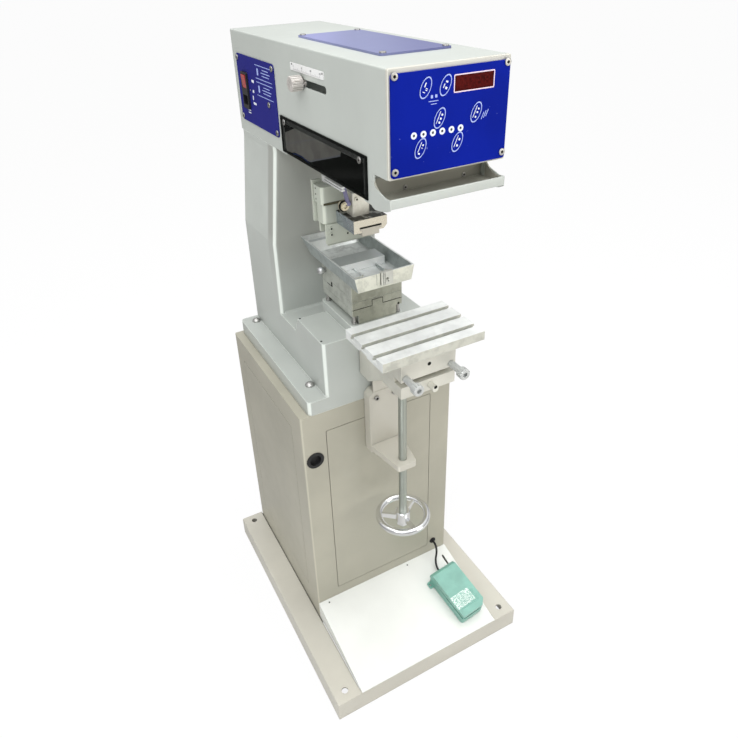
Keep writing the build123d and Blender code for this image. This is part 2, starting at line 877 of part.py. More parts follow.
def knee_block():
    """Knee that rides on the dovetail way and carries the saddle on a tapered tongue."""
    rear = cabinet_front - web_rear_gap
    side = [(knee_front, knee_bottom), (knee_front, knee_top), (rear, knee_top), (rear, web_bottom),
            (rear - web_foot_depth, web_bottom), (knee_back, knee_bottom)]
    web = profile_x(side, across(web_half_width))
    head = block(across(knee_half_width), (knee_front, knee_back), (knee_bottom, knee_top))
    tongue = profile_y([(-tongue_half_width + tongue_taper, knee_top), (tongue_half_width - tongue_taper, knee_top),
                        (tongue_half_width, knee_top + tongue_height),
                        (-tongue_half_width, knee_top + tongue_height)],
                       (knee_front + saddle_front_gap_depth, saddle_rear))
    solid = web + head + tongue
    face = cabinet_front - way_depth - run_gap
    slope = (way_face_half_width - way_root_half_width) / way_depth
    reach = rear + overrun
    root_half = way_face_half_width - slope * (reach - face) + run_gap
    groove = profile_z([(-root_half - run_gap, reach), (-way_face_half_width - 2 * run_gap, face),
                        (way_face_half_width + 2 * run_gap, face), (root_half + run_gap, reach)],
                       (web_bottom - overrun, knee_top + overrun))
    solid -= groove
    solid -= rod_z_axis(0, screw_y, screw_radius + seat_clear, (web_bottom - overrun, knee_bottom))
    solid -= rod_z_axis(0, screw_y, journal_radius + bore_gap, (knee_bottom - overrun, knee_bottom + journal_length))
    boss = rod_y_axis(stop_screw_x, stop_screw_z, stop_screw_radius, (knee_front - stop_screw_length, knee_front))
    return solid + chamfer(boss.edges().sort_by(Axis.Y)[0], small_chamfer)


def saddle_block():
    """Saddle with the rebate along its front foot, clamp screw bores and the table key."""
    low = knee_top + run_gap
    side = [(knee_front + saddle_front_gap_depth, low), (saddle_rear, low), (saddle_rear, saddle_top),
            (knee_front, saddle_top), (knee_front, low + saddle_front_gap_height),
            (knee_front + saddle_front_gap_depth, low + saddle_front_gap_height)]
    solid = profile_x(side, across(knee_half_width))
    groove_top = knee_top + tongue_height + run_gap
    solid -= profile_y([(-tongue_half_width + tongue_taper - 2 * run_gap, low - overrun),
                        (tongue_half_width - tongue_taper + 2 * run_gap, low - overrun),
                        (tongue_half_width + 2 * run_gap, groove_top),
                        (-tongue_half_width - 2 * run_gap, groove_top)],
                       (knee_front - overrun, saddle_rear + overrun))
    solid += block(across(knee_half_width), (key_front, key_rear), (saddle_top, saddle_top + key_height))
    for x in across(clamp_screw_x):
        solid -= rod_y_axis(x, clamp_screw_z, clamp_shank_radius + bore_gap,
                            (knee_front - overrun, knee_front + clamp_bore_depth))
    return solid


def clamp_screw(x):
    """A knurled cap screw with a hexagon socket."""
    neck = knee_front - clamp_neck_length
    head_front = neck - clamp_head_length
    shank = rod_y_axis(x, clamp_screw_z, clamp_shank_radius, (neck, knee_front + clamp_bore_depth - overrun))
    collar = rod_y_axis(x, clamp_screw_z, clamp_shank_radius + clamp_flute_radius, (neck, knee_front - run_gap))
    head = rod_y_axis(x, clamp_screw_z, clamp_head_radius, (head_front, neck))
    head = chamfer(head.edges().filter_by(GeomType.CIRCLE), clamp_flute_radius)
    for index in range(clamp_flutes):
        angle = 2 * math.pi * index / clamp_flutes
        flute_x = x + clamp_head_radius * math.cos(angle)
        flute_z = clamp_screw_z + clamp_head_radius * math.sin(angle)
        head -= rod_y_axis(flute_x, flute_z, clamp_flute_radius, (head_front - overrun, neck + overrun))
    socket = Plane(origin=(x, head_front, clamp_screw_z), z_dir=(0, 1, 0))
    hexagon = socket * RegularPolygon(clamp_hex_flats / 2, 6, major_radius=False)
    return shank + collar + head - extrude(hexagon, amount=clamp_hex_depth)


def t_slot_table():
    """Extruded table with its T slots along X and a key groove below."""
    low = saddle_top + run_gap
    solid = block(across(table_half_width), (table_front, table_rear), (low, table_top))
    middle = (table_front + table_rear) / 2
    for index in range(slot_count):
        y = middle + (index - (slot_count - 1) / 2) * slot_pitch
        half = slot_mouth / 2
        wide = slot_undercut / 2
        shape = [(y - half, table_top + overrun), (y - half, table_top - slot_mouth_depth),
                 (y - wide, table_top - slot_mouth_depth), (y - wide, table_top - slot_depth),
                 (y + wide, table_top - slot_depth), (y + wide, table_top - slot_mouth_depth),
                 (y + half, table_top - slot_mouth_depth), (y + half, table_top + overrun)]
        solid -= profile_x(shape, across(table_half_width + overrun))
    solid -= block(across(table_half_width + overrun), (key_front - run_gap, key_rear + run_gap),
                   (low - overrun, saddle_top + key_height + run_gap))
    return solid


# Cross stage and tray

def stage_width():
    """Left and right face of the cross stage."""
    return (stage_x - stage_half_width, stage_x + stage_half_width)


def guide_x(grow):
    """Left and right face of the guide that runs along Y."""
    return (stage_x - guide_half_width - grow, stage_x + guide_half_width + grow)


def stage_body(z):
    """One block of the stage with bevelled upright edges."""
    solid = block(stage_width(), (stage_front, stage_rear), z)
    return chamfer(solid.edges().filter_by(Axis.Z), stage_chamfer)


def stage_base():
    """Lowest block: its guide along Y above, and a foot between the levelling screws below."""
    solid = stage_body((stage_bottom, stage_base_top))
    solid += block(guide_x(0), (stage_front, stage_rear), (stage_base_top - overrun, stage_base_top + guide_height))
    left, right = stage_width()
    solid += block((left + stage_relief, right - stage_relief), (stage_front, stage_rear - stage_relief),
                   (pedestal_top, stage_bottom + overrun))
    for x, y in level_places():
        solid -= rod_z_axis(x, y, level_screw_radius, (stage_bottom - overrun, stage_base_top - level_foot_height))
    return solid


def level_places():
    """Centres of the four levelling screws."""
    left, right = stage_width()
    front = stage_front + level_screw_inset
    rear = stage_rear - level_screw_inset
    return [(x, y) for x in (left + level_screw_inset, right - level_screw_inset) for y in (front, rear)]


def levelling_screws():
    """Four screws with round feet that stand on the casting."""
    screws = []
    for x, y in level_places():
        foot = rod_z_axis(x, y, level_foot_radius, (pedestal_top, pedestal_top + level_foot_height))
        shank = rod_z_axis(x, y, level_screw_radius,
                           (pedestal_top + level_foot_height, stage_base_top - level_foot_height))
        screws.append(foot + shank)
    return Compound(children=[solid_of(screw) for screw in screws])


def stage_middle():
    """Middle slide: groove along Y below, wide guide along X above."""
    low = stage_base_top + guide_seam
    solid = stage_body((low, stage_middle_top))
    solid -= block(guide_x(guide_seam), (stage_front - overrun, stage_rear + overrun),
                   (low - overrun, stage_base_top + guide_height + guide_seam))
    return solid + block(stage_width(), (cross_guide_front, cross_guide_rear),
                         (stage_middle_top - overrun, stage_middle_top + cross_guide_height))


def stage_top():
    """Top slide under the tray, with the groove along X."""
    low = stage_middle_top + guide_seam
    solid = stage_body((low, stage_top_z))
    left, right = stage_width()
    solid -= block((left - overrun, right + overrun), (cross_guide_front - guide_seam, cross_guide_rear + guide_seam),
                   (low - overrun, stage_middle_top + cross_guide_height + guide_seam))
    return solid - rod_x_axis(ball_y, ball_z, ball_stem_radius + bore_gap, (left - overrun, left + ball_bore_depth))


def stage_knob():
    """Ball knob that locks the top slide."""
    left = stage_width()[0]
    centre = left - ball_stem_length - ball_radius / 2
    neck = centre + math.sqrt(ball_radius ** 2 - ball_stem_radius ** 2)
    stem_end = left + ball_bore_depth - overrun
    ball = ThreePointArc((centre - ball_radius, 0), (centre, ball_radius), (neck, ball_stem_radius))
    stem = Polyline([(neck, ball_stem_radius), (stem_end, ball_stem_radius), (stem_end, 0), (centre - ball_radius, 0)])
    level = Plane(origin=(0, ball_y, ball_z), x_dir=(1, 0, 0), z_dir=(0, -1, 0))
    return revolve(level * make_face(ball + stem), Axis((0, ball_y, ball_z), (1, 0, 0)))


def ink_tray():
    """Open aluminium tray: flared walls, raised ink shelf, seat for the plate and a gutter on the right."""
    low = stage_top_z
    narrow = tray_half_width - tray_flare
    bottom = Plane.XY.offset(low) * Pos(0, (tray_front + tray_rear_low_y) / 2) * Rectangle(
        2 * narrow, tray_rear_low_y - tray_front)
    rim = Plane.XY.offset(tray_top) * Pos(0, (tray_front + tray_rear) / 2) * Rectangle(
        2 * tray_half_width, tray_rear - tray_front)
    outer = loft([bottom, rim])
    inside_low = Plane.XY.offset(low + tray_floor) * Pos(0, (tray_front + tray_rear_low_y) / 2) * Rectangle(
        2 * (narrow - tray_wall), tray_rear_low_y - tray_front - 2 * tray_wall)
    inside_high = Plane.XY.offset(tray_top + overrun) * Pos(0, (tray_front + tray_rear) / 2) * Rectangle(
        2 * (tray_half_width - tray_wall), tray_rear - tray_front - 2 * tray_wall)
    solid = outer - loft([inside_low, inside_high])
    shelf_top = low + tray_floor + shelf_height
    left = -narrow + tray_wall / 2
    solid += block((left, shelf_right), (shelf_front, shelf_rear), (low + overrun, shelf_top))
    seat_top = low + tray_floor + rib_height
    solid += block((left, -seat_half_width), (seat_front, shelf_front + overrun),
                   (low + overrun, seat_top - seat_drop))
    for x in (-seat_half_width, seat_half_width):
        solid += block((x, x + rib_width), (seat_front, shelf_front + overrun), (low + overrun, seat_top))
    clamp_back = tray_front + tray_wall + overrun
    return solid - block(clamp_width(run_gap), (tray_front - overrun, clamp_back),
                         (low + tray_floor, tray_top + overrun))


def clamp_width(grow):
    """Left and right face of the tray's clamp block."""
    return (clamp_x - clamp_half_width - grow, clamp_x + clamp_half_width + grow)


def tray_clamp():
    """Screwed clamp block let into the tray's front wall."""
    y = (tray_front - clamp_thickness / 2, tray_front + tray_wall + overrun)
    left, right = clamp_width(0)
    low = stage_top_z + tray_floor
    solid = block((left, right), y, (low, tray_top + clamp_rise))
    solid = fillet(solid.edges().filter_by(Axis.Z).sort_by(Axis.Y)[:2], clamp_edge_radius)
    for x in (left + clamp_groove_inset, left + 2 * clamp_groove_inset):
        solid -= block((x, x + clamp_groove_width), (y[0] - overrun, y[0] + clamp_groove_depth),
                       (low - overrun, tray_top + clamp_rise + overrun))
    middle = (low + tray_top) / 2
    return solid - rod_y_axis(clamp_x, middle, clamp_screw_hole_radius,
                              (y[0] - overrun, y[0] + clamp_thickness / 2))


# Head

def head_frame():
    """Plate on the column, two bulkheads for the guide rods and the beams that join them."""
    inner = head_half_width - head_skin - run_gap
    solid = block(across(inner), (column_front, head_rear - head_skin - run_gap),
                  (column_top, column_top + frame_plate))
    rear_wall = (column_front - frame_plate, column_front + run_gap)
    solid += block(across(inner), rear_wall, (column_top, bulkhead_top))
    front_wall = (bulkhead_front_y, bulkhead_front_y + frame_plate)
    solid += block(across(inner), front_wall, (head_low_z + frame_plate, bulkhead_top))
    for side in (-1, 1):
        ends = sorted((side * inner, side * (inner - beam_width)))
        solid += block(ends, (bulkhead_front_y, column_front), (bulkhead_top - beam_height, bulkhead_top))
    for x in across(rod_x):
        solid -= rod_y_axis(x, rod_z, guide_rod_radius, (bulkhead_front_y - overrun, column_front + overrun))
    solid -= rod_y_axis(0, rod_z, stroke_rod_radius + bore_gap,
                        (column_front - frame_plate - overrun, column_front + overrun))
    return solid


def head_cover():
    """Folded sheet hood with its side openings, knob slot and stepped front."""
    rear = head_rear
    outline = [(rear, head_low_z), (rear, head_top), (head_skin_front, head_top), (head_skin_front, head_box_bottom),
               (skin_toe_y, head_box_bottom), (skin_toe_y, head_low_z)]
    solid = profile_x(outline, across(head_half_width))
    solid = fillet(solid.edges().filter_by(Axis.Y).filter_by_position(Axis.Z, head_top, head_top), front_edge_radius)
    t = head_skin
    inner = [(rear - t, head_low_z - overrun), (rear - t, head_top - t), (head_skin_front - overrun, head_top - t),
             (head_skin_front - overrun, head_box_bottom + t), (head_box_rear, head_box_bottom + t),
             (head_box_rear, head_low_z - overrun)]
    solid -= profile_x(inner, across(head_half_width - t))
    toe = [(skin_toe_y - overrun, head_low_z - overrun), (skin_toe_y - overrun, head_box_bottom),
           (head_box_rear - t, head_box_bottom), (head_box_rear - t, head_low_z - overrun)]
    solid -= profile_x(toe, across(head_half_width - t))
    opening_y = (window_front + window_frame, window_rear - window_frame)
    solid -= block(across(head_half_width + overrun), opening_y, (head_low_z - overrun, window_top - window_frame))
    slot_half = knob_slot_height / 2
    left_wall = (-head_half_width - overrun, -head_half_width + t + overrun)
    solid -= block(left_wall, (knob_slot_front + slot_half, knob_slot_rear - slot_half),
                   (knob_slot_z - slot_half, knob_slot_z + slot_half))
    for y in (knob_slot_front + slot_half, knob_slot_rear - slot_half):
        solid -= rod_x_axis(y, knob_slot_z, slot_half, left_wall)
    inlet_half = inlet_width / 2 - inlet_flange
    solid -= block(left_wall, (inlet_y - inlet_half, inlet_y + inlet_half),
                   (inlet_bottom + inlet_flange, inlet_top - inlet_flange))
    margin = top_opening_margin
    solid -= block((top_plate_x - top_plate_half_width + margin, top_plate_x + top_plate_half_width - margin),
                   (top_plate_front + margin, top_plate_rear - margin), (head_top - t - overrun, head_top + overrun))
    return solid


def top_cover_plate():
    """Service cover on the top of the head."""
    return plate_z((top_plate_x - top_plate_half_width, top_plate_x + top_plate_half_width),
                   (top_plate_front, top_plate_rear), (head_top, head_top + top_plate_sheet), top_plate_radius)


def front_frame():
    """Frame that closes the front of the head behind the control panel."""
    solid = plate_y(across(head_half_width), (head_box_bottom, head_top), (frame_front, head_skin_front),
                    front_edge_radius)
    front = solid.edges().filter_by_position(Axis.Y, frame_front, frame_front)
    return chamfer(front, front_edge_chamfer)


def key_places():
    """Centres of the six membrane keys."""
    return [(key_a_x, key_upper_z), (key_b_x, key_upper_z), (key_c_x, key_middle_z), (key_d_x, key_middle_z),
            (key_e_x, key_lower_z), (key_f_x, key_lower_z)]


def lamp_places():
    """Centres of the six status lamps."""
    return [(lamp_first_x + index * lamp_pitch, lamp_z) for index in range(lamp_count)]


def tilted_ellipse(x, z, grow, y, depth):
    """A leaning ellipse that faces the operator."""
    face = Plane(origin=(x, y, z), x_dir=(1, 0, 0), z_dir=(0, -1, 0))
    shape = Rot(0, 0, -key_tilt) * Ellipse(key_half_short + grow, key_half_long + grow)
    return extrude(face * shape, amount=depth)


def control_panel():
    """Membrane panel with pockets for the keys, the lamps and the display window."""
    solid = plate_y(across(panel_half_width), (panel_bottom, panel_top), (panel_face, frame_front), panel_radius)
    pocket_floor = panel_face + key_thickness - key_proud + key_travel + key_rest_gap
    for x, z in key_places():
        solid -= tilted_ellipse(x, z, key_gap, pocket_floor, pocket_floor - panel_face + overrun)
    for x, z in lamp_places():
        solid -= rod_y_axis(x, z, lamp_radius, (panel_face - overrun, panel_face + lamp_depth))
    half = display_width / 2
    tall = display_height / 2
    return solid - block((display_x - half, display_x + half), (panel_face - overrun, panel_face + display_depth),
                         (display_z - tall, display_z + tall))


def display_window():
    """Dark window of the four digit counter."""
    half = display_width / 2
    tall = display_height / 2
    return block((display_x - half, display_x + half), (panel_face + display_sink, panel_face + display_depth),
                 (display_z - tall, display_z + tall))


def status_lamps():
    """Six small lamp lenses in a row."""
    lamps = [rod_y_axis(x, z, lamp_radius, (panel_face, panel_face + lamp_depth)) for x, z in lamp_places()]
    return Compound(children=[solid_of(lamp) for lamp in lamps])


def membrane_key(x, z):
    """One tilted oval key."""
    back = panel_face - key_proud + key_thickness
    return tilted_ellipse(x, z, 0, back, key_thickness)


def side_plate():
    """Dark side plate on the left of the head, cut out for the inlet."""
    left = (-head_half_width - side_plate_sheet, -head_half_width)
    solid = plate_x((side_plate_front, side_plate_rear), (side_plate_bottom, side_plate_top), left, side_plate_radius)
    half = inlet_width / 2 - inlet_flange
    return solid - block((left[0] - overrun, left[1] + overrun), (inlet_y - half, inlet_y + half),
                         (inlet_bottom + inlet_flange, inlet_top - inlet_flange))


def power_inlet():
    """Inlet module: flange, socket recess and the well of the rocker."""
    face = -head_half_width - side_plate_sheet
    half = inlet_width / 2
    solid = plate_x((inlet_y - half, inlet_y + half), (inlet_bottom, inlet_top), (face - inlet_proud, face),
                    inlet_flange)
    body_half = half - inlet_flange
    solid += block((face, face + inlet_depth), (inlet_y - body_half, inlet_y + body_half),
                   (inlet_bottom + inlet_flange, inlet_top - inlet_flange))
    mouth = face - inlet_proud - overrun
    socket_half = inlet_socket_width / 2
    socket_tall = inlet_socket_height / 2
    solid -= block((mouth, face + inlet_socket_depth), (inlet_y - socket_half, inlet_y + socket_half),
                   (inlet_socket_z - socket_tall, inlet_socket_z + socket_tall))
    well_half = rocker_width / 2 + rocker_gap
    well_tall = rocker_height / 2 + rocker_gap
    solid -= block((mouth, face + rocker_depth), (inlet_y - well_half, inlet_y + well_half),
                   (rocker_z - well_tall, rocker_z + well_tall))
    pin_half = rocker_pin_length / 2 + bore_gap
    return solid - rod_y_axis(rocker_pin_x(), rocker_z, rocker_pin_radius + bore_gap,
                              (inlet_y - pin_half, inlet_y + pin_half))


def rocker_pin_x():
    """Where the rocker's pin lies, behind the inlet's face."""
    return -head_half_width - side_plate_sheet - inlet_proud + rocker_pin_depth


def rocker_switch():
    """Rocker that leans half its swing either way, on a pin along Y."""
    crest = -head_half_width - side_plate_sheet - inlet_proud - rocker_gap
    pin_x = rocker_pin_x()
    tall = rocker_height / 2
    lean = tall * math.tan(math.radians(rocker_swing / 2))
    outline = [(crest - lean, rocker_z + tall), (pin_x, rocker_z + tall - rocker_gap),
               (pin_x + rocker_back, rocker_z + rocker_back), (pin_x + rocker_back, rocker_z - rocker_back),
               (pin_x, rocker_z - tall + rocker_gap), (crest + lean, rocker_z - tall)]
    half = rocker_width / 2
    solid = profile_y(outline, (inlet_y - half, inlet_y + half))
    pin_half = rocker_pin_length / 2
    return solid + rod_y_axis(pin_x, rocker_z, rocker_pin_radius, (inlet_y - pin_half, inlet_y + pin_half))


def scale_plate():
    """Scale strip above the knob slot."""
    left = (-head_half_width - scale_sheet, -head_half_width)
    return plate_x((scale_front, scale_rear), (scale_bottom, scale_top), left, scale_sheet)


def stroke_knob():
    """Knurled clamp knob whose stem runs in the slot."""
    wall = -head_half_width
    outer = wall - run_gap - knob_length
    head = rod_x_axis(knob_y, knob_slot_z, knob_radius, (outer, wall - run_gap - head_skin))
    head = chamfer(head.edges().filter_by(GeomType.CIRCLE), knob_flute_radius)
    for index in range(knob_flutes):
        angle = 2 * math.pi * index / knob_flutes
        head -= rod_x_axis(knob_y + knob_radius * math.cos(angle), knob_slot_z + knob_radius * math.sin(angle),
                           knob_flute_radius, (outer - overrun, wall))
    collar = rod_x_axis(knob_y, knob_slot_z, knob_collar_radius, (wall - run_gap - head_skin, wall - run_gap))
    stem = rod_x_axis(knob_y, knob_slot_z, knob_stem_radius, (wall - head_skin, wall + head_skin + run_gap))
    nut = rod_x_axis(knob_y, knob_slot_z, knob_collar_radius,
                     (wall + head_skin + run_gap, wall + 2 * head_skin + run_gap))
    return head + collar + stem + nut


def side_windows():
    """Smoked windows along both sides of the head."""
    windows = []
    for side in (-1, 1):
        ends = sorted((side * head_half_width, side * (head_half_width + window_sheet)))
        windows.append(block(ends, (window_front, window_rear), (window_bottom, window_top)))
    return Compound(children=[solid_of(window) for window in windows])


def head_screws():
    """All visible button screws of the head, one kind."""
    screws = []
    for x in across(panel_half_width - panel_screw_inset):
        for z in (panel_bottom + panel_screw_rise, panel_top - panel_screw_drop):
            screws.append(rod_y_axis(x, z, head_screw_radius, (panel_face - panel_screw_head, panel_face)))
    left = -head_half_width
    plate_face = left - side_plate_sheet
    for y in (side_plate_front + side_screw_inset, side_plate_rear - side_screw_inset):
        for z in (side_plate_bottom + side_screw_inset, side_plate_top - side_screw_inset):
            screws.append(rod_x_axis(y, z, head_screw_radius, (plate_face - head_screw_head, plate_face)))
    screws.append(rod_x_axis(side_extra_screw_y, side_extra_screw_z, head_screw_radius,
                             (plate_face - head_screw_head, plate_face)))
    for side in (-1, 1):
        face = side * (head_half_width + window_sheet)
        ends = sorted((face, face + side * head_screw_head))
        for y in (window_front + window_screw_inset, window_rear - window_screw_inset):
            screws.append(rod_x_axis(y, window_top - window_screw_drop, head_screw_radius, ends))
    top = head_top + top_plate_sheet
    for x in (top_plate_x - top_plate_half_width + top_screw_inset,
              top_plate_x + top_plate_half_width - top_screw_inset):
        for y in (top_plate_front + top_screw_inset, top_plate_rear - top_screw_inset):
            screws.append(rod_z_axis(x, y, head_screw_radius, (top, top + head_screw_head)))
    return Compound(children=[solid_of(screw) for screw in screws])


def trough_tray():
    """Hooked catch trough with end cheeks, under the front box."""
    t = trough_sheet
    back = head_box_rear - head_skin
    floor_front = trough_front + trough_bend
    outer = [(back, trough_back_top), (back, trough_bottom), (floor_front, trough_bottom),
             (trough_front, trough_lip_z - t), (trough_front, trough_lip_z), (trough_front + t, trough_lip_z),
             (floor_front + t / 2, trough_bottom + t), (back - t, trough_bottom + t), (back - t, trough_back_top)]
    half = head_half_width
    solid = profile_x(outer, across(half - head_skin))
    arc_start = (skin_toe_y, trough_back_top)
    arc_mid = (skin_toe_y - trough_bend, trough_bottom + 2 * trough_bend)
    arc_end = (trough_front, trough_lip_z)
    for side in (-1, 1):
        ends = sorted((side * half, side * (half - head_skin)))
        edge = ThreePointArc(arc_start, arc_mid, arc_end)
        rest = Polyline([arc_end, (trough_front, trough_lip_z - t), (floor_front, trough_bottom),
                         (skin_toe_y, trough_bottom), arc_start])
        cheek = Plane.YZ.offset(ends[0]) * make_face(edge + rest)
        solid += extrude(cheek, amount=head_skin)
    return solid


# Moving parts in the head

def guide_rods():
    """Two hardened rods that carry the carriage."""
    rods = [rod_y_axis(x, rod_z, guide_rod_radius, (bulkhead_front_y, column_front)) for x in across(rod_x)]
    return Compound(children=[solid_of(rod) for rod in rods])


def stroke_bore():
    """Front and rear end of the cylinder's bore: the stroke, the piston and a little at each end."""
    front = stroke_barrel_front + stroke_cap
    return (front, front + stroke_travel + piston_length + 2 * stroke_end_clear)


def stroke_cylinder():
    """Air cylinder that drives the carriage, with its front and rear caps."""
    bore = stroke_bore()
    barrel = rod_y_axis(0, rod_z, stroke_barrel_radius, (stroke_barrel_front, bore[1] + stroke_cap))
    barrel = barrel - rod_y_axis(0, rod_z, stroke_bore_radius, bore)
    foot = block(across(stroke_barrel_radius), (column_front + run_gap, stroke_barrel_front + stroke_cap),
                 (column_top + frame_plate, rod_z + stroke_barrel_radius))
    solid = barrel + foot
    return solid - rod_y_axis(0, rod_z, stroke_rod_radius + bore_gap,
                              (column_front - overrun, stroke_barrel_front + stroke_cap + overrun))


def carriage():
    """Carriage block that slides on the two rods."""
    solid = plate_z(across(carriage_half_width), (carriage_front, carriage_rear), (carriage_bottom, carriage_top),
                    carriage_corner_radius)
    for x in across(rod_x):
        solid -= rod_y_axis(x, rod_z, guide_rod_radius + bore_gap,
                            (carriage_front - overrun, carriage_rear + overrun))
    solid -= rod_z_axis(0, pad_y, ram_radius + bore_gap, (carriage_bottom - overrun, carriage_top + overrun))
    for x in (lift_rod_left_x, lift_rod_right_x):
        solid -= rod_z_axis(x, lift_rod_y, lift_rod_radius + bore_gap, (carriage_bottom - overrun,
                                                                        carriage_top + overrun))
    return solid


def cylinder_rod():
    """Piston rod between the carriage and the stroke cylinder."""
    piston_rear = stroke_bore()[1] - stroke_end_clear
    rod = rod_y_axis(0, rod_z, stroke_rod_radius, (carriage_rear, piston_rear - piston_length / 2))
    piston = rod_y_axis(0, rod_z, stroke_bore_radius - bore_gap, (piston_rear - piston_length, piston_rear))
    return rod + piston


def pad_cylinder():
    """Upright air cylinder on the carriage, of square section."""
    half = pad_cylinder_half
    solid = plate_z(across(half), (pad_y - half, pad_y + half), (carriage_top, pad_cylinder_top), pad_cylinder_radius)
    return solid - rod_z_axis(0, pad_y, ram_radius + bore_gap, (carriage_top - overrun, ram_top + overrun))


def pad_ram():
    """Ram with the clamping foot that carries the pad block."""
    rod = rod_z_axis(0, pad_y, ram_radius, (block_top, ram_top))
    left = ram_foot_x - ram_foot_half_x
    foot = plate_z((left, ram_foot_x + ram_foot_half_x), (pad_y - ram_foot_half_y, pad_y + ram_foot_half_y),
                   (block_top, block_top + ram_foot_height), ram_screw_radius)
    front = pad_y - ram_foot_half_y
    x = left + ram_screw_inset
    z = block_top + ram_foot_height - ram_screw_drop
    screw = rod_y_axis(x, z, ram_screw_radius, (front - ram_screw_head, front))
    socket = Plane(origin=(x, front - ram_screw_head, z), z_dir=(0, 1, 0))
    hexagon = extrude(socket * RegularPolygon(ram_screw_hex / 2, 6, major_radius=False), amount=ram_screw_head)
    return rod + foot + screw - hexagon


def pad_holder_block():
    """Chromed pad block with its T slot and the chamfered lower right edge."""
    left, right = across(block_half_width)
    outline = [(left, block_bottom), (right - block_chamfer, block_bottom), (right, block_bottom + block_chamfer),
               (right, block_top), (left, block_top)]
    solid = profile_y(outline, (block_front, block_rear))
    wing = insert_half_width + run_gap
    neck = insert_half_width - insert_wing + run_gap
    floor = block_top - insert_slot_floor
    slot_low = floor - insert_top_gap - insert_wing_thickness - run_gap
    solid -= block(across(wing), (block_front - overrun, block_rear + overrun), (slot_low, floor))
    solid -= block(across(neck), (block_front - overrun, block_rear + overrun), (block_bottom - overrun, floor))
    return solid


def pad_insert_plate():
    """T plate that a printing pad is screwed to, slid into the block from the front."""
    top = block_top - insert_slot_floor - insert_top_gap
    wings = block(across(insert_half_width), (block_front, block_rear), (top - insert_wing_thickness, top))
    neck = insert_half_width - insert_wing
    low = block_bottom - insert_drop
    body = block(across(neck), (block_front, block_rear), (low, top))
    return wings + body


def doctor_rods():
    """Two lift rods of the doctoring unit."""
    rods = []
    for x in (lift_rod_left_x, lift_rod_right_x):
        rods.append(rod_z_axis(x, lift_rod_y, lift_rod_radius, (upper_tier_top, lift_rod_top)))
    return Compound(children=[solid_of(rod) for rod in rods])


def doctor_block():
    """Two tier block with rounded front corners and the plate behind it."""
    upper = block((tier_left, carrier_right), (tier_front, carrier_front), (upper_tier_bottom, upper_tier_top))
    upper = fillet(upper.edges().filter_by(Axis.Z).sort_by(Axis.Y)[:2], tier_radius)
    lower = block((tier_left + lower_tier_inset, tier_right), (tier_front + lower_tier_inset, carrier_front),
                  (lower_tier_bottom, upper_tier_bottom))
    lower = fillet(lower.edges().filter_by(Axis.Z).sort_by(Axis.Y)[:2], tier_radius)
    return upper + lower


def doctor_bracket():
    """Stepped carrier plate behind the doctoring block."""
    outline = [(carrier_left, upper_tier_bottom), (carrier_left, carrier_top), (carrier_right, carrier_top),
               (carrier_right, carrier_bottom), (carrier_step_x, carrier_bottom), (carrier_step_x, lower_tier_bottom),
               (carrier_left, lower_tier_bottom)]
    return profile_y(outline, (carrier_front, carrier_rear))


def doctor_plate():
    """Blade holder plate with its clamp screws and the thin steel blade."""
    face = tier_front + lower_tier_inset
    front = face - doctor_thickness
    solid = block((doctor_left, doctor_right), (front, face), (doctor_bottom, doctor_top))
    solid = fillet(solid.edges().filter_by(Axis.Y), doctor_corner_radius)
    for drop in (doctor_screw_upper_drop, doctor_screw_lower_drop):
        solid += rod_y_axis(doctor_screw_x, doctor_top - drop, doctor_screw_radius,
                            (front - doctor_screw_head, front))
    rear = block((doctor_left + doctor_thickness, doctor_right - doctor_thickness), (face, face + doctor_thickness),
                 (doctor_bottom + blade_height / 2, lower_tier_bottom))
    blade = block((doctor_left + doctor_thickness, doctor_right - doctor_thickness), (face, face + blade_thickness),
                  (doctor_bottom - blade_reach, doctor_bottom + blade_height / 2))
    return solid + rear + blade


# Foot switch

def tread_height(y):
    """Height of the tread's upper face at a depth."""
    return rail_height + tread_rise * (y - base_front) / (cabinet_front - base_front)


def on_tread(shape):
    """Set a piece that was drawn flat at the foot switch's place onto the sloping tread."""
    slope = math.degrees(math.atan2(tread_rise, cabinet_front - base_front))
    middle = (pedal_front_y + pedal_rear_y) / 2
    turned = Rot(slope, 0, 0) * Rot(0, 0, pedal_turn) * shape
    return Pos(pedal_x, middle, tread_height(middle)) * turned


def pedal_half_length():
    """Half the length of the foot switch."""
    return (pedal_rear_y - pedal_front_y) / 2


def pedal_base():
    """Cast tub of the foot switch with its hinge pin, nose and ears."""
    half = pedal_half_length()
    width = pedal_half_width
    wall = pedal_wall
    solid = plate_z(across(width), across(half), (0, pedal_wall_height), pedal_corner_radius)
    ear = plate_z((-width - pedal_ear_length, -width + pedal_ear_length),
                  (half - 2 * pedal_ear_half_width - wall, half - wall), (0, wall), pedal_ear_radius)
    solid += ear
    solid -= block(across(width - wall), across(half - wall), (pedal_base_height - wall, pedal_wall_height + overrun))
    solid += profile_z(corner_outline(wall * math.sqrt(2)), (0, pedal_wall_height))
    solid -= profile_z(corner_outline(0), (-overrun, pedal_wall_height + overrun))
    pin_y = half - pedal_pin_inset
    solid += rod_x_axis(pin_y, pedal_pin_height, pedal_pin_radius, across(width - wall / 2))
    solid -= rod_z_axis(-width - pedal_ear_length / 2, half - pedal_ear_half_width - wall, pedal_ear_hole_radius,
                        (-overrun, wall + overrun))
    return on_tread(solid)


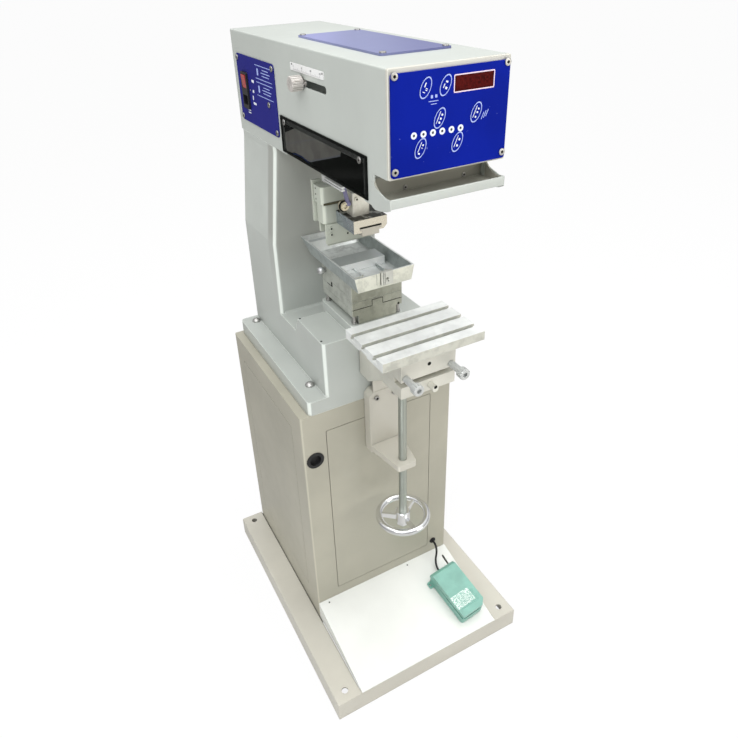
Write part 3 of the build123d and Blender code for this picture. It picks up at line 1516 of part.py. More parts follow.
def pedal_treadle():
    """Hinged treadle that closes the tub like a lid."""
    half = pedal_half_length()
    width = pedal_half_width
    pin_y = half - pedal_pin_inset
    low = pedal_wall_height + pedal_gap + (pin_y + half) * math.sin(math.radians(pedal_swing))
    top_rear = pedal_cover_rear_height
    side = [(-half, low), (-half, low + pedal_cover_thickness),
            (half - wall_round(), top_rear), (half, top_rear - wall_round()), (half, pedal_wall_height + pedal_gap),
            (pin_y, pedal_wall_height + pedal_gap)]
    solid = profile_x(side, across(width))
    tops = solid.edges().filter_by(Axis.X).filter_by_position(Axis.Z, top_rear - overrun, top_rear + overrun)
    solid = fillet(tops, pedal_wall)
    solid -= profile_z(corner_outline(0), (0, top_rear + overrun))
    lug_half = width - pedal_wall - pedal_gap
    lug = block(across(lug_half), (pin_y - 2 * pedal_pin_radius, pin_y + 2 * pedal_pin_radius),
                (pedal_base_height - pedal_wall + pedal_gap, pedal_wall_height + 2 * pedal_gap))
    solid += lug
    solid -= rod_x_axis(pin_y, pedal_pin_height, pedal_pin_radius + bore_gap, across(width + overrun))
    climb = (top_rear - low - pedal_cover_thickness) / (2 * half - wall_round())
    for index in range(pedal_ridge_count):
        y = pedal_ridge_middle + (index - (pedal_ridge_count - 1) / 2) * pedal_ridge_pitch
        surface = low + pedal_cover_thickness + climb * (y + half)
        solid += block(across(pedal_ridge_half_length), (y - pedal_ridge_width / 2, y + pedal_ridge_width / 2),
                       (surface - overrun, surface + pedal_ridge_height))
    return on_tread(solid)


def corner_outline(grow):
    """The front right corner that is cut off the foot switch, or with growth its inner wall."""
    half = pedal_half_length()
    width = pedal_half_width
    reach = pedal_corner_cut + grow
    if grow:
        return [(width - reach, -half), (width, -half), (width, -half + reach)]
    return [(width - reach, -half), (width - reach, -half - overrun), (width + overrun, -half - overrun),
            (width + overrun, -half + reach), (width, -half + reach)]


def wall_round():
    """Run of the slanted rear shoulder of the treadle."""
    return 2 * pedal_wall


def cable_points():
    """Route of the foot switch cable, from the grommet to the back of the foot switch."""
    half = pedal_half_length()
    ends = [on_tread(Pos(0, half + reach, pedal_base_height / 2) * Sphere(cable_radius)).center()
            for reach in (0, cable_stub)]
    start = Vector(grommet_x, cabinet_front - grommet_flange, grommet_z)
    return [start, start - Vector(0, cable_stub, 0), ends[1], ends[0]]


def pedal_cable():
    """Cable of the foot switch, straight runs joined by tangent arcs."""
    points = cable_points()
    radii = []
    for before, here, after in zip(points, points[1:], points[2:]):
        run_in = here - before
        run_out = after - here
        half_turn = math.radians(run_in.get_angle(run_out)) / 2
        radii.append(cable_bend_share * min(run_in.length, run_out.length) / math.tan(half_turn))
    path = FilletPolyline(*points, radius=radii)
    section = Plane(origin=points[0], z_dir=points[1] - points[0]) * Circle(cable_radius)
    tube = sweep(section, path=path)
    print("cable radii", [round(radius, 1) for radius in radii], "length", round(path.length, 1))
    print("cable volume", round(tube.volume, 1), "section by length",
          round(math.pi * cable_radius ** 2 * path.length, 1))
    return tube


def solid_of(shape):
    """The single solid inside a shape."""
    return shape.solids()[0]


PIECES = {
    "base_frame": base_frame,
    "tread_plate": tread_plate,
    "cabinet_shell": cabinet_shell,
    "front_cover_panel": front_cover_panel,
    "side_cover_panels": side_cover_panels,
    "hole_plug": hole_plug,
    "cable_grommet": cable_grommet,
    "cast_frame": cast_frame,
    "casting_screws": casting_screws,
    "jack_bracket": jack_bracket,
    "lead_screw": lead_screw,
    "handwheel": handwheel,
    "knee_block": knee_block,
    "saddle_block": saddle_block,
    "clamp_screw_left": lambda: clamp_screw(-clamp_screw_x),
    "clamp_screw_right": lambda: clamp_screw(clamp_screw_x),
    "t_slot_table": t_slot_table,
    "stage_base": stage_base,
    "levelling_screws": levelling_screws,
    "stage_middle": stage_middle,
    "stage_top": stage_top,
    "stage_knob": stage_knob,
    "ink_tray": ink_tray,
    "tray_clamp": tray_clamp,
    "head_frame": head_frame,
    "head_cover": head_cover,
    "top_cover_plate": top_cover_plate,
    "front_frame": front_frame,
    "control_panel": control_panel,
    "display_window": display_window,
    "status_lamps": status_lamps,
    "side_plate": side_plate,
    "power_inlet": power_inlet,
    "rocker_switch": rocker_switch,
    "scale_plate": scale_plate,
    "stroke_knob": stroke_knob,
    "side_windows": side_windows,
    "head_screws": head_screws,
    "trough_tray": trough_tray,
    "guide_rods": guide_rods,
    "stroke_cylinder": stroke_cylinder,
    "carriage": carriage,
    "cylinder_rod": cylinder_rod,
    "pad_cylinder": pad_cylinder,
    "pad_ram": pad_ram,
    "pad_holder_block": pad_holder_block,
    "pad_insert_plate": pad_insert_plate,
    "doctor_rods": doctor_rods,
    "doctor_block": doctor_block,
    "doctor_bracket": doctor_bracket,
    "doctor_plate": doctor_plate,
    "pedal_base": pedal_base,
    "pedal_treadle": pedal_treadle,
    "pedal_cable": pedal_cable,
}

os.makedirs("parts", exist_ok=True)
for name, make in PIECES.items():
    export_step(make(), f"parts/{name}.step")
for index, (x, z) in enumerate(key_places(), start=1):
    export_step(membrane_key(x, z), f"parts/key_{index}.step")
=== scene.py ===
import bmesh
import bpy
import json
import math
from mathutils import Matrix, Vector

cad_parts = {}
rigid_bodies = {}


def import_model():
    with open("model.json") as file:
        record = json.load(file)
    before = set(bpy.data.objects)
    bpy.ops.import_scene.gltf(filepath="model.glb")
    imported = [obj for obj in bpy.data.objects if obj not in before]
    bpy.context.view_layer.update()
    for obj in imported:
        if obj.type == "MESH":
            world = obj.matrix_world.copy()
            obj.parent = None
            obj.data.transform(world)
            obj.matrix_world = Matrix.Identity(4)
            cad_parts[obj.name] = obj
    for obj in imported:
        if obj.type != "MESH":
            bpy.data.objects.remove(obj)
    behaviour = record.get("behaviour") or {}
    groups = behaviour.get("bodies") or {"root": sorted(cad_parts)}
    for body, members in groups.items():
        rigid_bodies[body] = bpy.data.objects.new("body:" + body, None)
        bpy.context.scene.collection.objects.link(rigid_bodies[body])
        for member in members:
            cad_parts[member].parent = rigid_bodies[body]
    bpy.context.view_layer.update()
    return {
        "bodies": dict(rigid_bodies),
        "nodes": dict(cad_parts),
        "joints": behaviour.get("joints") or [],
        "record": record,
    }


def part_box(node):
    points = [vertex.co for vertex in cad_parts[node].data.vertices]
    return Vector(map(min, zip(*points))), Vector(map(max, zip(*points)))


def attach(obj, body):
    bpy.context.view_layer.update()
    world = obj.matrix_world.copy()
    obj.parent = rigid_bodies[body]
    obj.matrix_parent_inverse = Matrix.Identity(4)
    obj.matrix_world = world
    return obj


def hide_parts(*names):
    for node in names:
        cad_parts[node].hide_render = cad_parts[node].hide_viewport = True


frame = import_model()

bl_info = {
    "name": "Pad Printing Machine",
    "version": (1, 0, 0),
    "blender": (4, 5, 0),
    "location": "3D View > Sidebar > Pad Printer",
    "description": "Dresses the packed frame of a floor standing pad printing machine",
    "category": "Object",
}

NODES = frame["nodes"]
WHITE = (1.0, 1.0, 1.0)
EVEN = (1.0, 1.0, 1.0)

# The photograph's camera, solved from the machine's own edges
CAMERA_PLACE = (-0.5125, -1.0210, 1.4017)
CAMERA_RIGHT = (0.8783, -0.47728, -0.03156)
CAMERA_FORWARD = (0.39884, 0.76734, -0.50185)
SENSOR_WIDTH = 36.0
FOCAL_PIXELS = 658.57
FRAME_PIXELS = 738.0
PRINCIPAL_POINT = (366.2, 325.9)

# Soft lamps as (name, place, target, size, share of the lamp power, colour)
LAMPS = [
    ("main lamp", (-1.5, -1.7, 2.7), (0.0, -0.1, 0.9), 1.6, 1.0, (0.97, 0.99, 1.0)),
    ("top lamp", (0.1, -0.3, 3.3), (0.0, -0.1, 0.8), 3.4, 2.40, WHITE),
    ("right lamp", (1.5, -2.3, 1.3), (0.0, -0.1, 0.7), 1.2, 0.42, (1.0, 0.95, 0.86)),
]

# Cable route, the points of the part's source
CABLE_POINTS = [(0.13700, -0.08400, 0.13000), (0.13700, -0.10600, 0.13000),
                (0.11732, -0.12192, 0.09295), (0.11962, -0.14324, 0.08803)]
CABLE_DIAMETER = 0.005

# Painted shade in the niche before the column, polished steel, and the treadle's ribbed patch with its middle
# and half sides on axes turned as the treadle is
NICHE_SHADE = (0.235, 0.228, 0.200)
POLISHED = (0.80, 0.81, 0.82)
PATCH_TURN = 0.105
PATCH_CENTRE = (0.0960, -0.2470)
PATCH_HALF = (0.0262, 0.0160)
PATCH_FADE = 0.0012

# Facts of the pieces that carry prints and screws
PANEL_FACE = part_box("control_panel")[0].y
SIDE_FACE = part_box("side_plate")[0].x
SCALE_LOW, SCALE_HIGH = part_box("scale_plate")
LAMP_LOW, LAMP_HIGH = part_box("status_lamps")
LAMP_COUNT = 6
LAMP_RADIUS = (LAMP_HIGH.z - LAMP_LOW.z) / 2
LAMP_STEP = (LAMP_HIGH.x - LAMP_LOW.x - 2 * LAMP_RADIUS) / (LAMP_COUNT - 1)
LAMP_ROW = [(LAMP_LOW.x + LAMP_RADIUS + LAMP_STEP * index, LAMP_LOW.z + LAMP_RADIUS)
            for index in range(LAMP_COUNT)]
KEY_NAMES = [f"key_{index}" for index in range(1, 7)]
KEY_TILT = math.radians(25.0)

# Thickness of the prints and of the painted shade in holes
INK = 0.00012
HOLE_SHADE_THICKNESS = 0.00015


class Wire:
    """A shader socket whose arithmetic adds Math nodes."""

    def __init__(self, finish, socket):
        self.finish = finish
        self.socket = socket

    def __add__(self, other):
        return self.finish.math("ADD", self, other)

    def __sub__(self, other):
        return self.finish.math("SUBTRACT", self, other)

    def __rsub__(self, other):
        return self.finish.math("SUBTRACT", other, self)

    def __mul__(self, other):
        return self.finish.math("MULTIPLY", self, other)

    __radd__ = __add__
    __rmul__ = __mul__


class Finish:
    """A material or a world, built up from nodes and arithmetic on Wires."""

    def __init__(self, owner=None):
        self.owner = bpy.data.materials.new("finish") if owner is None else owner
        self.owner.use_nodes = True
        self.tree = self.owner.node_tree
        self.tree.nodes.clear()

    def node(self, kind, values=None, output=0, **settings):
        """A shader node with its settings made and its inputs filled or linked; gives one of its outputs."""
        made = self.tree.nodes.new("ShaderNode" + kind)
        for name, value in settings.items():
            setattr(made, name, value)
        for name, value in (values or {}).items():
            if isinstance(value, Wire):
                self.tree.links.new(value.socket, made.inputs[name])
            else:
                made.inputs[name].default_value = value
        return Wire(self, made.outputs[output])

    def math(self, operation, *values):
        return self.node("Math", dict(enumerate(values)), operation=operation)

    def part(self, vector, axis):
        return self.node("SeparateXYZ", {"Vector": vector}, axis)

    def along(self, axis):
        return self.part(self.node("TexCoord", output="Object"), axis)

    def facing(self, axis):
        return self.part(self.node("NewGeometry", output="Normal"), axis)

    def place(self, stretch=EVEN):
        return self.node("Mapping", {"Vector": self.node("TexCoord", output="Object"), "Scale": stretch})

    def noise(self, scale, detail=3.0, stretch=EVEN, roughness=0.55):
        return self.node("TexNoise", {"Vector": self.place(stretch), "Scale": scale, "Detail": detail,
                                      "Roughness": roughness})

    def between(self, value, low, high, start=0.0, end=1.0):
        """Rises softly from start to end while the value goes from low to high."""
        return self.node("MapRange", {"Value": value, "From Min": low, "From Max": high, "To Min": start,
                                      "To Max": end}, clamp=True, interpolation_type="SMOOTHSTEP")

    def band(self, value, low, high, blur):
        """One between low and high, none outside."""
        return self.between(value, low, low + blur) * self.between(value, high, high - blur)

    def mixed(self, mask, first, second):
        ends = {6: first, 7: second}
        for socket, colour in ends.items():
            if not isinstance(colour, Wire):
                ends[socket] = (*colour, 1.0)
        return self.node("Mix", {0: mask, **ends}, 2, data_type="RGBA")

    def toned(self, mask, colour, low, high):
        return self.mixed(mask, shade(colour, low), shade(colour, high))

    def layered(self, tone, colour, *layers):
        """Masks laid over a tone one after the other, each showing its own shade of the colour."""
        for mask, factor in layers:
            tone = self.mixed(mask, tone, shade(colour, factor))
        return tone

    def soft_edges(self, radius):
        return self.node("Bevel", {"Radius": radius}, samples=4)

    def worn_and_highlit_edges(self, radius, amount):
        # Mask of the edges found by the bevel; the finishes use it for wear and for painted highlights on
        # edges
        plain = self.node("NewGeometry", output="Normal")
        along = self.node("VectorMath", {0: self.soft_edges(radius), 1: plain}, 1, operation="DOT_PRODUCT")
        return self.between(along, 0.99, 0.80, 0.0, amount)

    def highlit_corners(self, amount):
        # Painted highlight on rounded corners, where the normal leans along both X and Y
        return self.between(self.facing("X") * self.facing("Y"), 0.26, 0.46, 0.0, amount)

    def crevice_shade(self, reach, amount):
        # Painted shade: the mask is strongest where ambient occlusion finds nearby surfaces
        open_sky = self.node("AmbientOcclusion", {"Distance": reach}, "AO", samples=4)
        return self.between(open_sky, 0.62, 0.20, 0.0, amount)

    def bump(self, height, strength, distance, edge=None):
        values = {"Height": height, "Strength": strength, "Distance": distance}
        if edge is not None:
            values["Normal"] = self.soft_edges(edge)
        return self.node("Bump", values)

    def finished(self, base, gloss, normal=None, **more):
        values = {name.replace("_", " "): value for name, value in more.items()}
        values.update({"Base Color": base, "Roughness": gloss})
        if normal is not None:
            values["Normal"] = normal
        return self.ended(self.node("BsdfPrincipled", values, "BSDF"))

    def ended(self, shader, kind="Material"):
        """Leads the shader to the output and gives back what it belongs to."""
        out = self.tree.nodes.new("ShaderNodeOutput" + kind)
        self.tree.links.new(shader.socket, out.inputs["Surface"])
        return self.owner


def tinted(colour, *factors):
    """The colour with each part changed by its own factor."""
    return tuple(part * factor for part, factor in zip(colour, factors))


def shade(colour, factor):
    """The same colour, lighter or darker."""
    return tinted(colour, factor, factor, factor)


def enamel(colour, gloss=0.34, metal=0.0, dirt=0.05, coat=0.35, edge=0.0007, shine=0.5, worn_edge_highlight=1.28):
    """Sprayed enamel: slight orange peel, faint cloudiness, painted shade in corners and gaps, and painted
    highlights on rounded corners and on edges where it has thinned.
    """
    finish = Finish()
    cloud = finish.between(finish.noise(5.0, 4.0), 0.35, 0.70)
    flecks = finish.between(finish.noise(260.0, 2.0), 0.62, 0.80, 0.0, 0.10)
    tone = finish.toned(cloud, colour, 1.0 - dirt, 1.0 + dirt / 2)
    # Painted shade in corners and gaps, painted highlights on rounded corners and on worn edges
    base = finish.layered(tone, colour, (flecks, 1.25), (finish.crevice_shade(0.007, 0.75), 0.22),
                          (finish.highlit_corners(0.5), worn_edge_highlight),
                          (finish.worn_and_highlit_edges(edge, 0.55), worn_edge_highlight))
    return finish.finished(base, gloss + finish.noise(30.0) * 0.14,
                           finish.bump(finish.noise(420.0, 2.0), 0.10, 0.0004, edge), Metallic=metal,
                           Coat_Weight=coat, Coat_Roughness=0.18, Specular_IOR_Level=shine)


def casting_enamel(colour):
    """Enamel over filled cast iron, with painted shade low down, in corners and gaps and in the niche before
    the column, and painted highlights on its rounded corners and edges.
    """
    finish = Finish()
    cloud = finish.noise(7.0, 5.0)
    niche = (finish.between(finish.math("ABSOLUTE", finish.along("X")), 0.1180, 0.1120)
             * finish.between(finish.along("Y"), 0.160, 0.150)
             * finish.between(finish.along("Z"), 0.775, 0.900))
    # Painted shade: the casting gets darker low down
    tone = finish.layered(finish.toned(finish.between(cloud, 0.3, 0.7), colour, 0.93, 1.03), colour,
                          (finish.between(finish.along("Z"), 0.92, 0.72, 0.0, 0.34), 0.62))
    # Painted shade in the niche before the column, under the head
    niche_shaded = finish.mixed(niche * (0.42 + cloud * 0.3), tone, NICHE_SHADE)
    # Painted shade in corners and gaps, painted highlights on rounded corners and on worn edges
    base = finish.layered(niche_shaded, colour, (finish.crevice_shade(0.012, 0.6), 0.22),
                          (finish.highlit_corners(0.9), 1.62), (finish.worn_and_highlit_edges(0.0034, 0.85), 1.62))
    skin = finish.noise(38.0) * 0.7 + finish.noise(90.0, 4.0) * 0.3
    return finish.finished(base, 0.34 + cloud * 0.12, finish.bump(skin, 0.22, 0.0012, 0.0030),
                           Coat_Weight=0.4, Coat_Roughness=0.20)


def bare_metal(colour, gloss, stretch, marks=0.10, edge=0.0005, stain=0.0, metal=1.0, front=None, side=None,
               hollow=False):
    """Machined metal with tool marks along one axis, painted shade in corners and gaps and painted highlights
    on its edges; front and left faces may get other tones as painted light and shade.
    """
    finish = Finish()
    tool = finish.noise(240.0, stretch=stretch)
    cloud = finish.noise(18.0, 4.0)
    blotch = finish.noise(55.0, 5.0, roughness=0.7)
    tone = finish.layered(finish.toned(finish.between(cloud, 0.3, 0.72), colour, 0.90 - stain, 1.04), colour,
                          (finish.between(blotch, 0.50, 0.66, 0.0, stain * 2.5), 0.52))
    # Painted light and shade: faces that look to the front or to the left get their own tones
    for axis, face_light_tone in (("X", side), ("Y", front)):
        if face_light_tone:
            lit_face = finish.toned(finish.between(blotch, 0.42, 0.62), face_light_tone, 1.06, 0.86)
            tone = finish.mixed(finish.between(finish.facing(axis), -0.55, -0.80), tone, lit_face)
    if hollow:
        tone = tray_inside(finish, tone)
    # Painted shade in corners and gaps, and painted highlights on the edges
    base = finish.layered(tone, colour, (finish.crevice_shade(0.004, 0.85), 0.10),
                          (finish.worn_and_highlit_edges(edge, 0.8), 1.22))
    return finish.finished(base, gloss + tool * 0.16 + cloud * 0.06, finish.bump(tool, marks, 0.0002, edge),
                           Metallic=metal)


def tray_inside(finish, tone):
    """The ink tray's raised ledge in painted shadow and its step as a bright painted highlight."""
    # Painted shadow on the ledge and a painted highlight on the front of the step
    shaded_shelf = (finish.band(finish.along("Z"), 0.8950, 0.8990, 0.0010)
             * finish.between(finish.facing("Z"), 0.6, 0.85))
    step = (finish.band(finish.along("Y"), -0.060, 0.010, 0.005)
            * finish.between(finish.facing("Y"), -0.55, -0.80))
    return finish.mixed(step, finish.mixed(shaded_shelf * 0.85, tone, (0.36, 0.39, 0.39)), (0.97, 0.98, 0.97))


def knurled_metal(colour, node, first_axis, count, mirrored=False):
    """Metal with straight knurling round the middle of a node, painted shade in its grooves; a mirrored pair
    can share it.
    """
    finish = Finish()
    low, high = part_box(node)
    which = "XYZ".index(first_axis)
    across = finish.along(first_axis)
    if mirrored:
        across = finish.math("ABSOLUTE", across)
    angle = finish.math("ARCTAN2", finish.along("Z") - (low.z + high.z) / 2,
                        across - (low[which] + high[which]) / 2)
    ridge = finish.between(finish.math("SINE", angle * float(count)), -0.6, 0.6)
    # Painted shade in the knurling's grooves
    return finish.finished(finish.toned(ridge, colour, 0.62, 1.06), 0.38 + finish.noise(60.0) * 0.14,
                           finish.bump(ridge, 0.6, 0.0004, 0.0004), Metallic=0.55)


def threaded_zinc():
    """Zinc plate with the rod's thread as a bump of its pitch, and painted shade in the thread's grooves."""
    finish = Finish()
    half_pitch = 0.001
    ridge = finish.between(finish.math("PINGPONG", finish.along("Z"), half_pitch), 0.0, half_pitch)
    # Painted shade in the thread's grooves, lighter on its crests
    base = finish.mixed(ridge, (0.22, 0.24, 0.22), (0.70, 0.74, 0.67))
    return finish.finished(base, 0.30 + finish.noise(30.0) * 0.12, finish.bump(ridge, 0.9, 0.0006),
                           Metallic=1.0)


def ram_steel(foot_top):
    """Cream nickel on the ram's foot, polished rod above it."""
    finish = Finish()
    rod = finish.between(finish.along("Z"), foot_top - 0.0002, foot_top + 0.0002)
    cloud = finish.noise(45.0, 4.0)
    foot = finish.mixed(finish.between(cloud, 0.3, 0.7), (0.60, 0.58, 0.50), (0.80, 0.79, 0.71))
    return finish.finished(finish.mixed(rod, foot, POLISHED), 0.36 - rod * 0.26 + cloud * 0.05,
                           finish.bump(finish.noise(160.0), 0.12, 0.0003, 0.0006), Metallic=0.55 + rod * 0.45)


def chrome_plate():
    """Polished plate, dulled in patches where it is handled."""
    finish = Finish()
    fine = finish.noise(300.0, 2.0, (1.0, 0.15, 1.0))
    dull = finish.between(finish.noise(26.0, 5.0), 0.50, 0.68, 0.0, 0.25)
    return finish.finished(finish.mixed(dull, POLISHED, (0.34, 0.34, 0.35)), 0.09 + dull * 0.35 + fine * 0.05,
                           finish.bump(fine, 0.05, 0.0001, 0.0006), Metallic=1.0)


def sheen_painted_block(top):
    """Chromed block with painted reflections: a cream front, bluish shaded flanks and light edges; its upper
    face is dark and patchy.
    """
    finish = Finish()
    upper = finish.between(finish.along("Z"), top - 0.0008, top - 0.0001)
    patch = finish.between(finish.noise(60.0), 0.52, 0.62)
    cloud = finish.between(finish.noise(14.0, 2.0), 0.35, 0.70)
    # Painted reflections: bluish shade on the flanks and a cream front
    shaded_flank = finish.mixed(cloud, (0.27, 0.31, 0.34), (0.40, 0.44, 0.47))
    side = finish.mixed(finish.between(finish.along("Y"), -0.0652, -0.0658), shaded_flank, (0.70, 0.655, 0.55))
    patchy_top = finish.mixed(patch, (0.040, 0.040, 0.034), (0.42, 0.42, 0.40))
    # Painted highlight on the edges; the upper face is dark with lighter patches
    base = finish.mixed(finish.worn_and_highlit_edges(0.0010, 0.25), finish.mixed(upper, side, patchy_top), (0.80, 0.79, 0.74))
    return finish.finished(base, 0.22 + upper * 0.20 + patch * 0.08,
                           finish.bump(finish.noise(90.0, 2.0), 0.03, 0.0002, 0.0008), Metallic=0.75)


def moulded(colour, gloss, depth=0.08, coat=0.0, shine=0.5):
    """Moulded plastic or rubber with a fine grain."""
    finish = Finish()
    grains = finish.noise(500.0, 2.0)
    base = finish.toned(finish.between(finish.noise(40.0), 0.35, 0.65), colour, 0.88, 1.10)
    return finish.finished(base, gloss + grains * 0.12, finish.bump(grains, depth, 0.0003, 0.0004),
                           Coat_Weight=coat, Specular_IOR_Level=shine)


def membrane(colour):
    """Printed polyester membrane: even gloss, a few pale specks and very low waves."""
    finish = Finish()
    cloud = finish.noise(9.0)
    tone = finish.toned(finish.between(cloud, 0.3, 0.7), colour, 0.90, 1.08)
    specks = finish.between(finish.noise(170.0, 2.0), 0.74, 0.78, 0.0, 0.25)
    waves = finish.bump(finish.noise(14.0, 2.0), 0.05, 0.0010, 0.0003)
    return finish.finished(finish.mixed(specks, tone, (0.35, 0.42, 0.85)), 0.38 + cloud * 0.10, waves,
                           Specular_IOR_Level=0.03)


def smoked_sheet():
    """Nearly black acrylic that lets a little through, with one faint slanting painted reflection and a
    closed rim.
    """
    finish = Finish()
    haze = finish.noise(12.0)
    reflection_streak = finish.band(finish.along("Z") + finish.along("Y") * 0.26, 1.0550, 1.0760, 0.0090)
    low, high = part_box("side_windows")
    rim, fade = 0.0030, 0.0015
    inner = (finish.band(finish.along("Y"), low.y + rim, high.y - rim, fade)
             * finish.band(finish.along("Z"), low.z + rim, high.z - rim, fade))
    # A faint slanting painted reflection across the sheet
    base = finish.mixed(reflection_streak * 0.8, (0.0032, 0.0042, 0.0036), (0.0120, 0.0130, 0.0120))
    waves = finish.bump(finish.noise(6.0, 2.0), 0.04, 0.0008, 0.0005)
    return finish.finished(base, 0.16 + haze * 0.08, waves, Specular_IOR_Level=0.02,
                           Alpha=0.42 + haze * 0.06 + (1.0 - inner) * 0.50)


def printed(colour):
    """Screen printed ink, slightly uneven."""
    finish = Finish()
    grain = finish.noise(700.0, 2.0)
    base = finish.toned(finish.between(grain, 0.35, 0.70), colour, 0.90, 1.03)
    return finish.finished(base, 0.42 + grain * 0.08)


def glowing_red():
    """Unlit digits behind the red window, just lighter than it."""
    finish = Finish()
    base = finish.mixed(finish.noise(900.0, 2.0), (0.082, 0.005, 0.004), (0.100, 0.007, 0.006))
    return finish.finished(base, 0.35, Specular_IOR_Level=0.03)


def display_glass():
    """Dark red filter glass, mottled by the unlit digits behind it."""
    finish = Finish()
    mottle = finish.noise(210.0, 4.0, roughness=0.7)
    base = finish.mixed(finish.between(mottle, 0.35, 0.68), (0.040, 0.0024, 0.0022), (0.088, 0.0060, 0.0052))
    return finish.finished(base, 0.30 + mottle * 0.10, finish.bump(mottle, 0.05, 0.0003, 0.0004),
                           Specular_IOR_Level=0.03)


def lavender_paint(colour):
    """Violet blue enamel of the service cover, with a painted reflection that lightens it towards the back
    left.
    """
    finish = Finish()
    # Painted reflection: lighter towards the back left, darker towards the front right
    reach = finish.along("X") - finish.along("Y") * 0.54
    cloud = finish.noise(9.0, 4.0)
    near = finish.mixed(finish.between(reach, 0.030, 0.150), tinted(colour, 1.20, 1.20, 0.83),
                        tinted(colour, 0.76, 0.76, 0.65))
    with_painted_reflection = finish.mixed(finish.between(reach, 0.020, -0.060), near, tinted(colour, 1.65, 1.58, 1.12))
    tone = finish.mixed(finish.between(cloud, 0.3, 0.7, 0.0, 0.08), with_painted_reflection, (0.10, 0.11, 0.30))
    base = finish.mixed(finish.worn_and_highlit_edges(0.0012, 0.7), tone, (0.030, 0.034, 0.200))
    return finish.finished(base, 0.32 + cloud * 0.10, finish.bump(finish.noise(60.0), 0.06, 0.0004, 0.0006),
                           Coat_Weight=0.2, Coat_Roughness=0.2)


def hammered_green(colour, patch):
    """Green enamel with the dimples of a hammered coat and painted highlights on its edges, and on the
    treadle its ribbed patch with bright painted glints.
    """
    finish = Finish()
    cells = finish.node("TexVoronoi", {"Vector": finish.place(), "Scale": 330.0, "Smoothness": 0.8},
                        feature="SMOOTH_F1")
    cloud = finish.noise(25.0, 4.0)
    # Painted highlight on the worn edges
    base = finish.layered(finish.toned(finish.between(cloud, 0.3, 0.7), colour, 0.86, 1.10), colour,
                          (finish.worn_and_highlit_edges(0.0008, 0.5), 1.5))
    if patch:
        x, y = finish.along("X"), finish.along("Y")
        # The ribbed patch is painted with bright speckled glints
        inside = finish.between(finish.noise(520.0), 0.46, 0.56)
        for turned, middle, half in zip((x + y * PATCH_TURN, y - x * PATCH_TURN), PATCH_CENTRE, PATCH_HALF):
            inside *= finish.between(finish.math("ABSOLUTE", turned - middle), half, half - PATCH_FADE)
        base = finish.mixed(inside, base, (0.86, 0.95, 0.90))
    return finish.finished(base, 0.30 + cloud * 0.12, finish.bump(cells, 0.20, 0.0005, 0.0008),
                           Coat_Weight=0.3, Coat_Roughness=0.2)


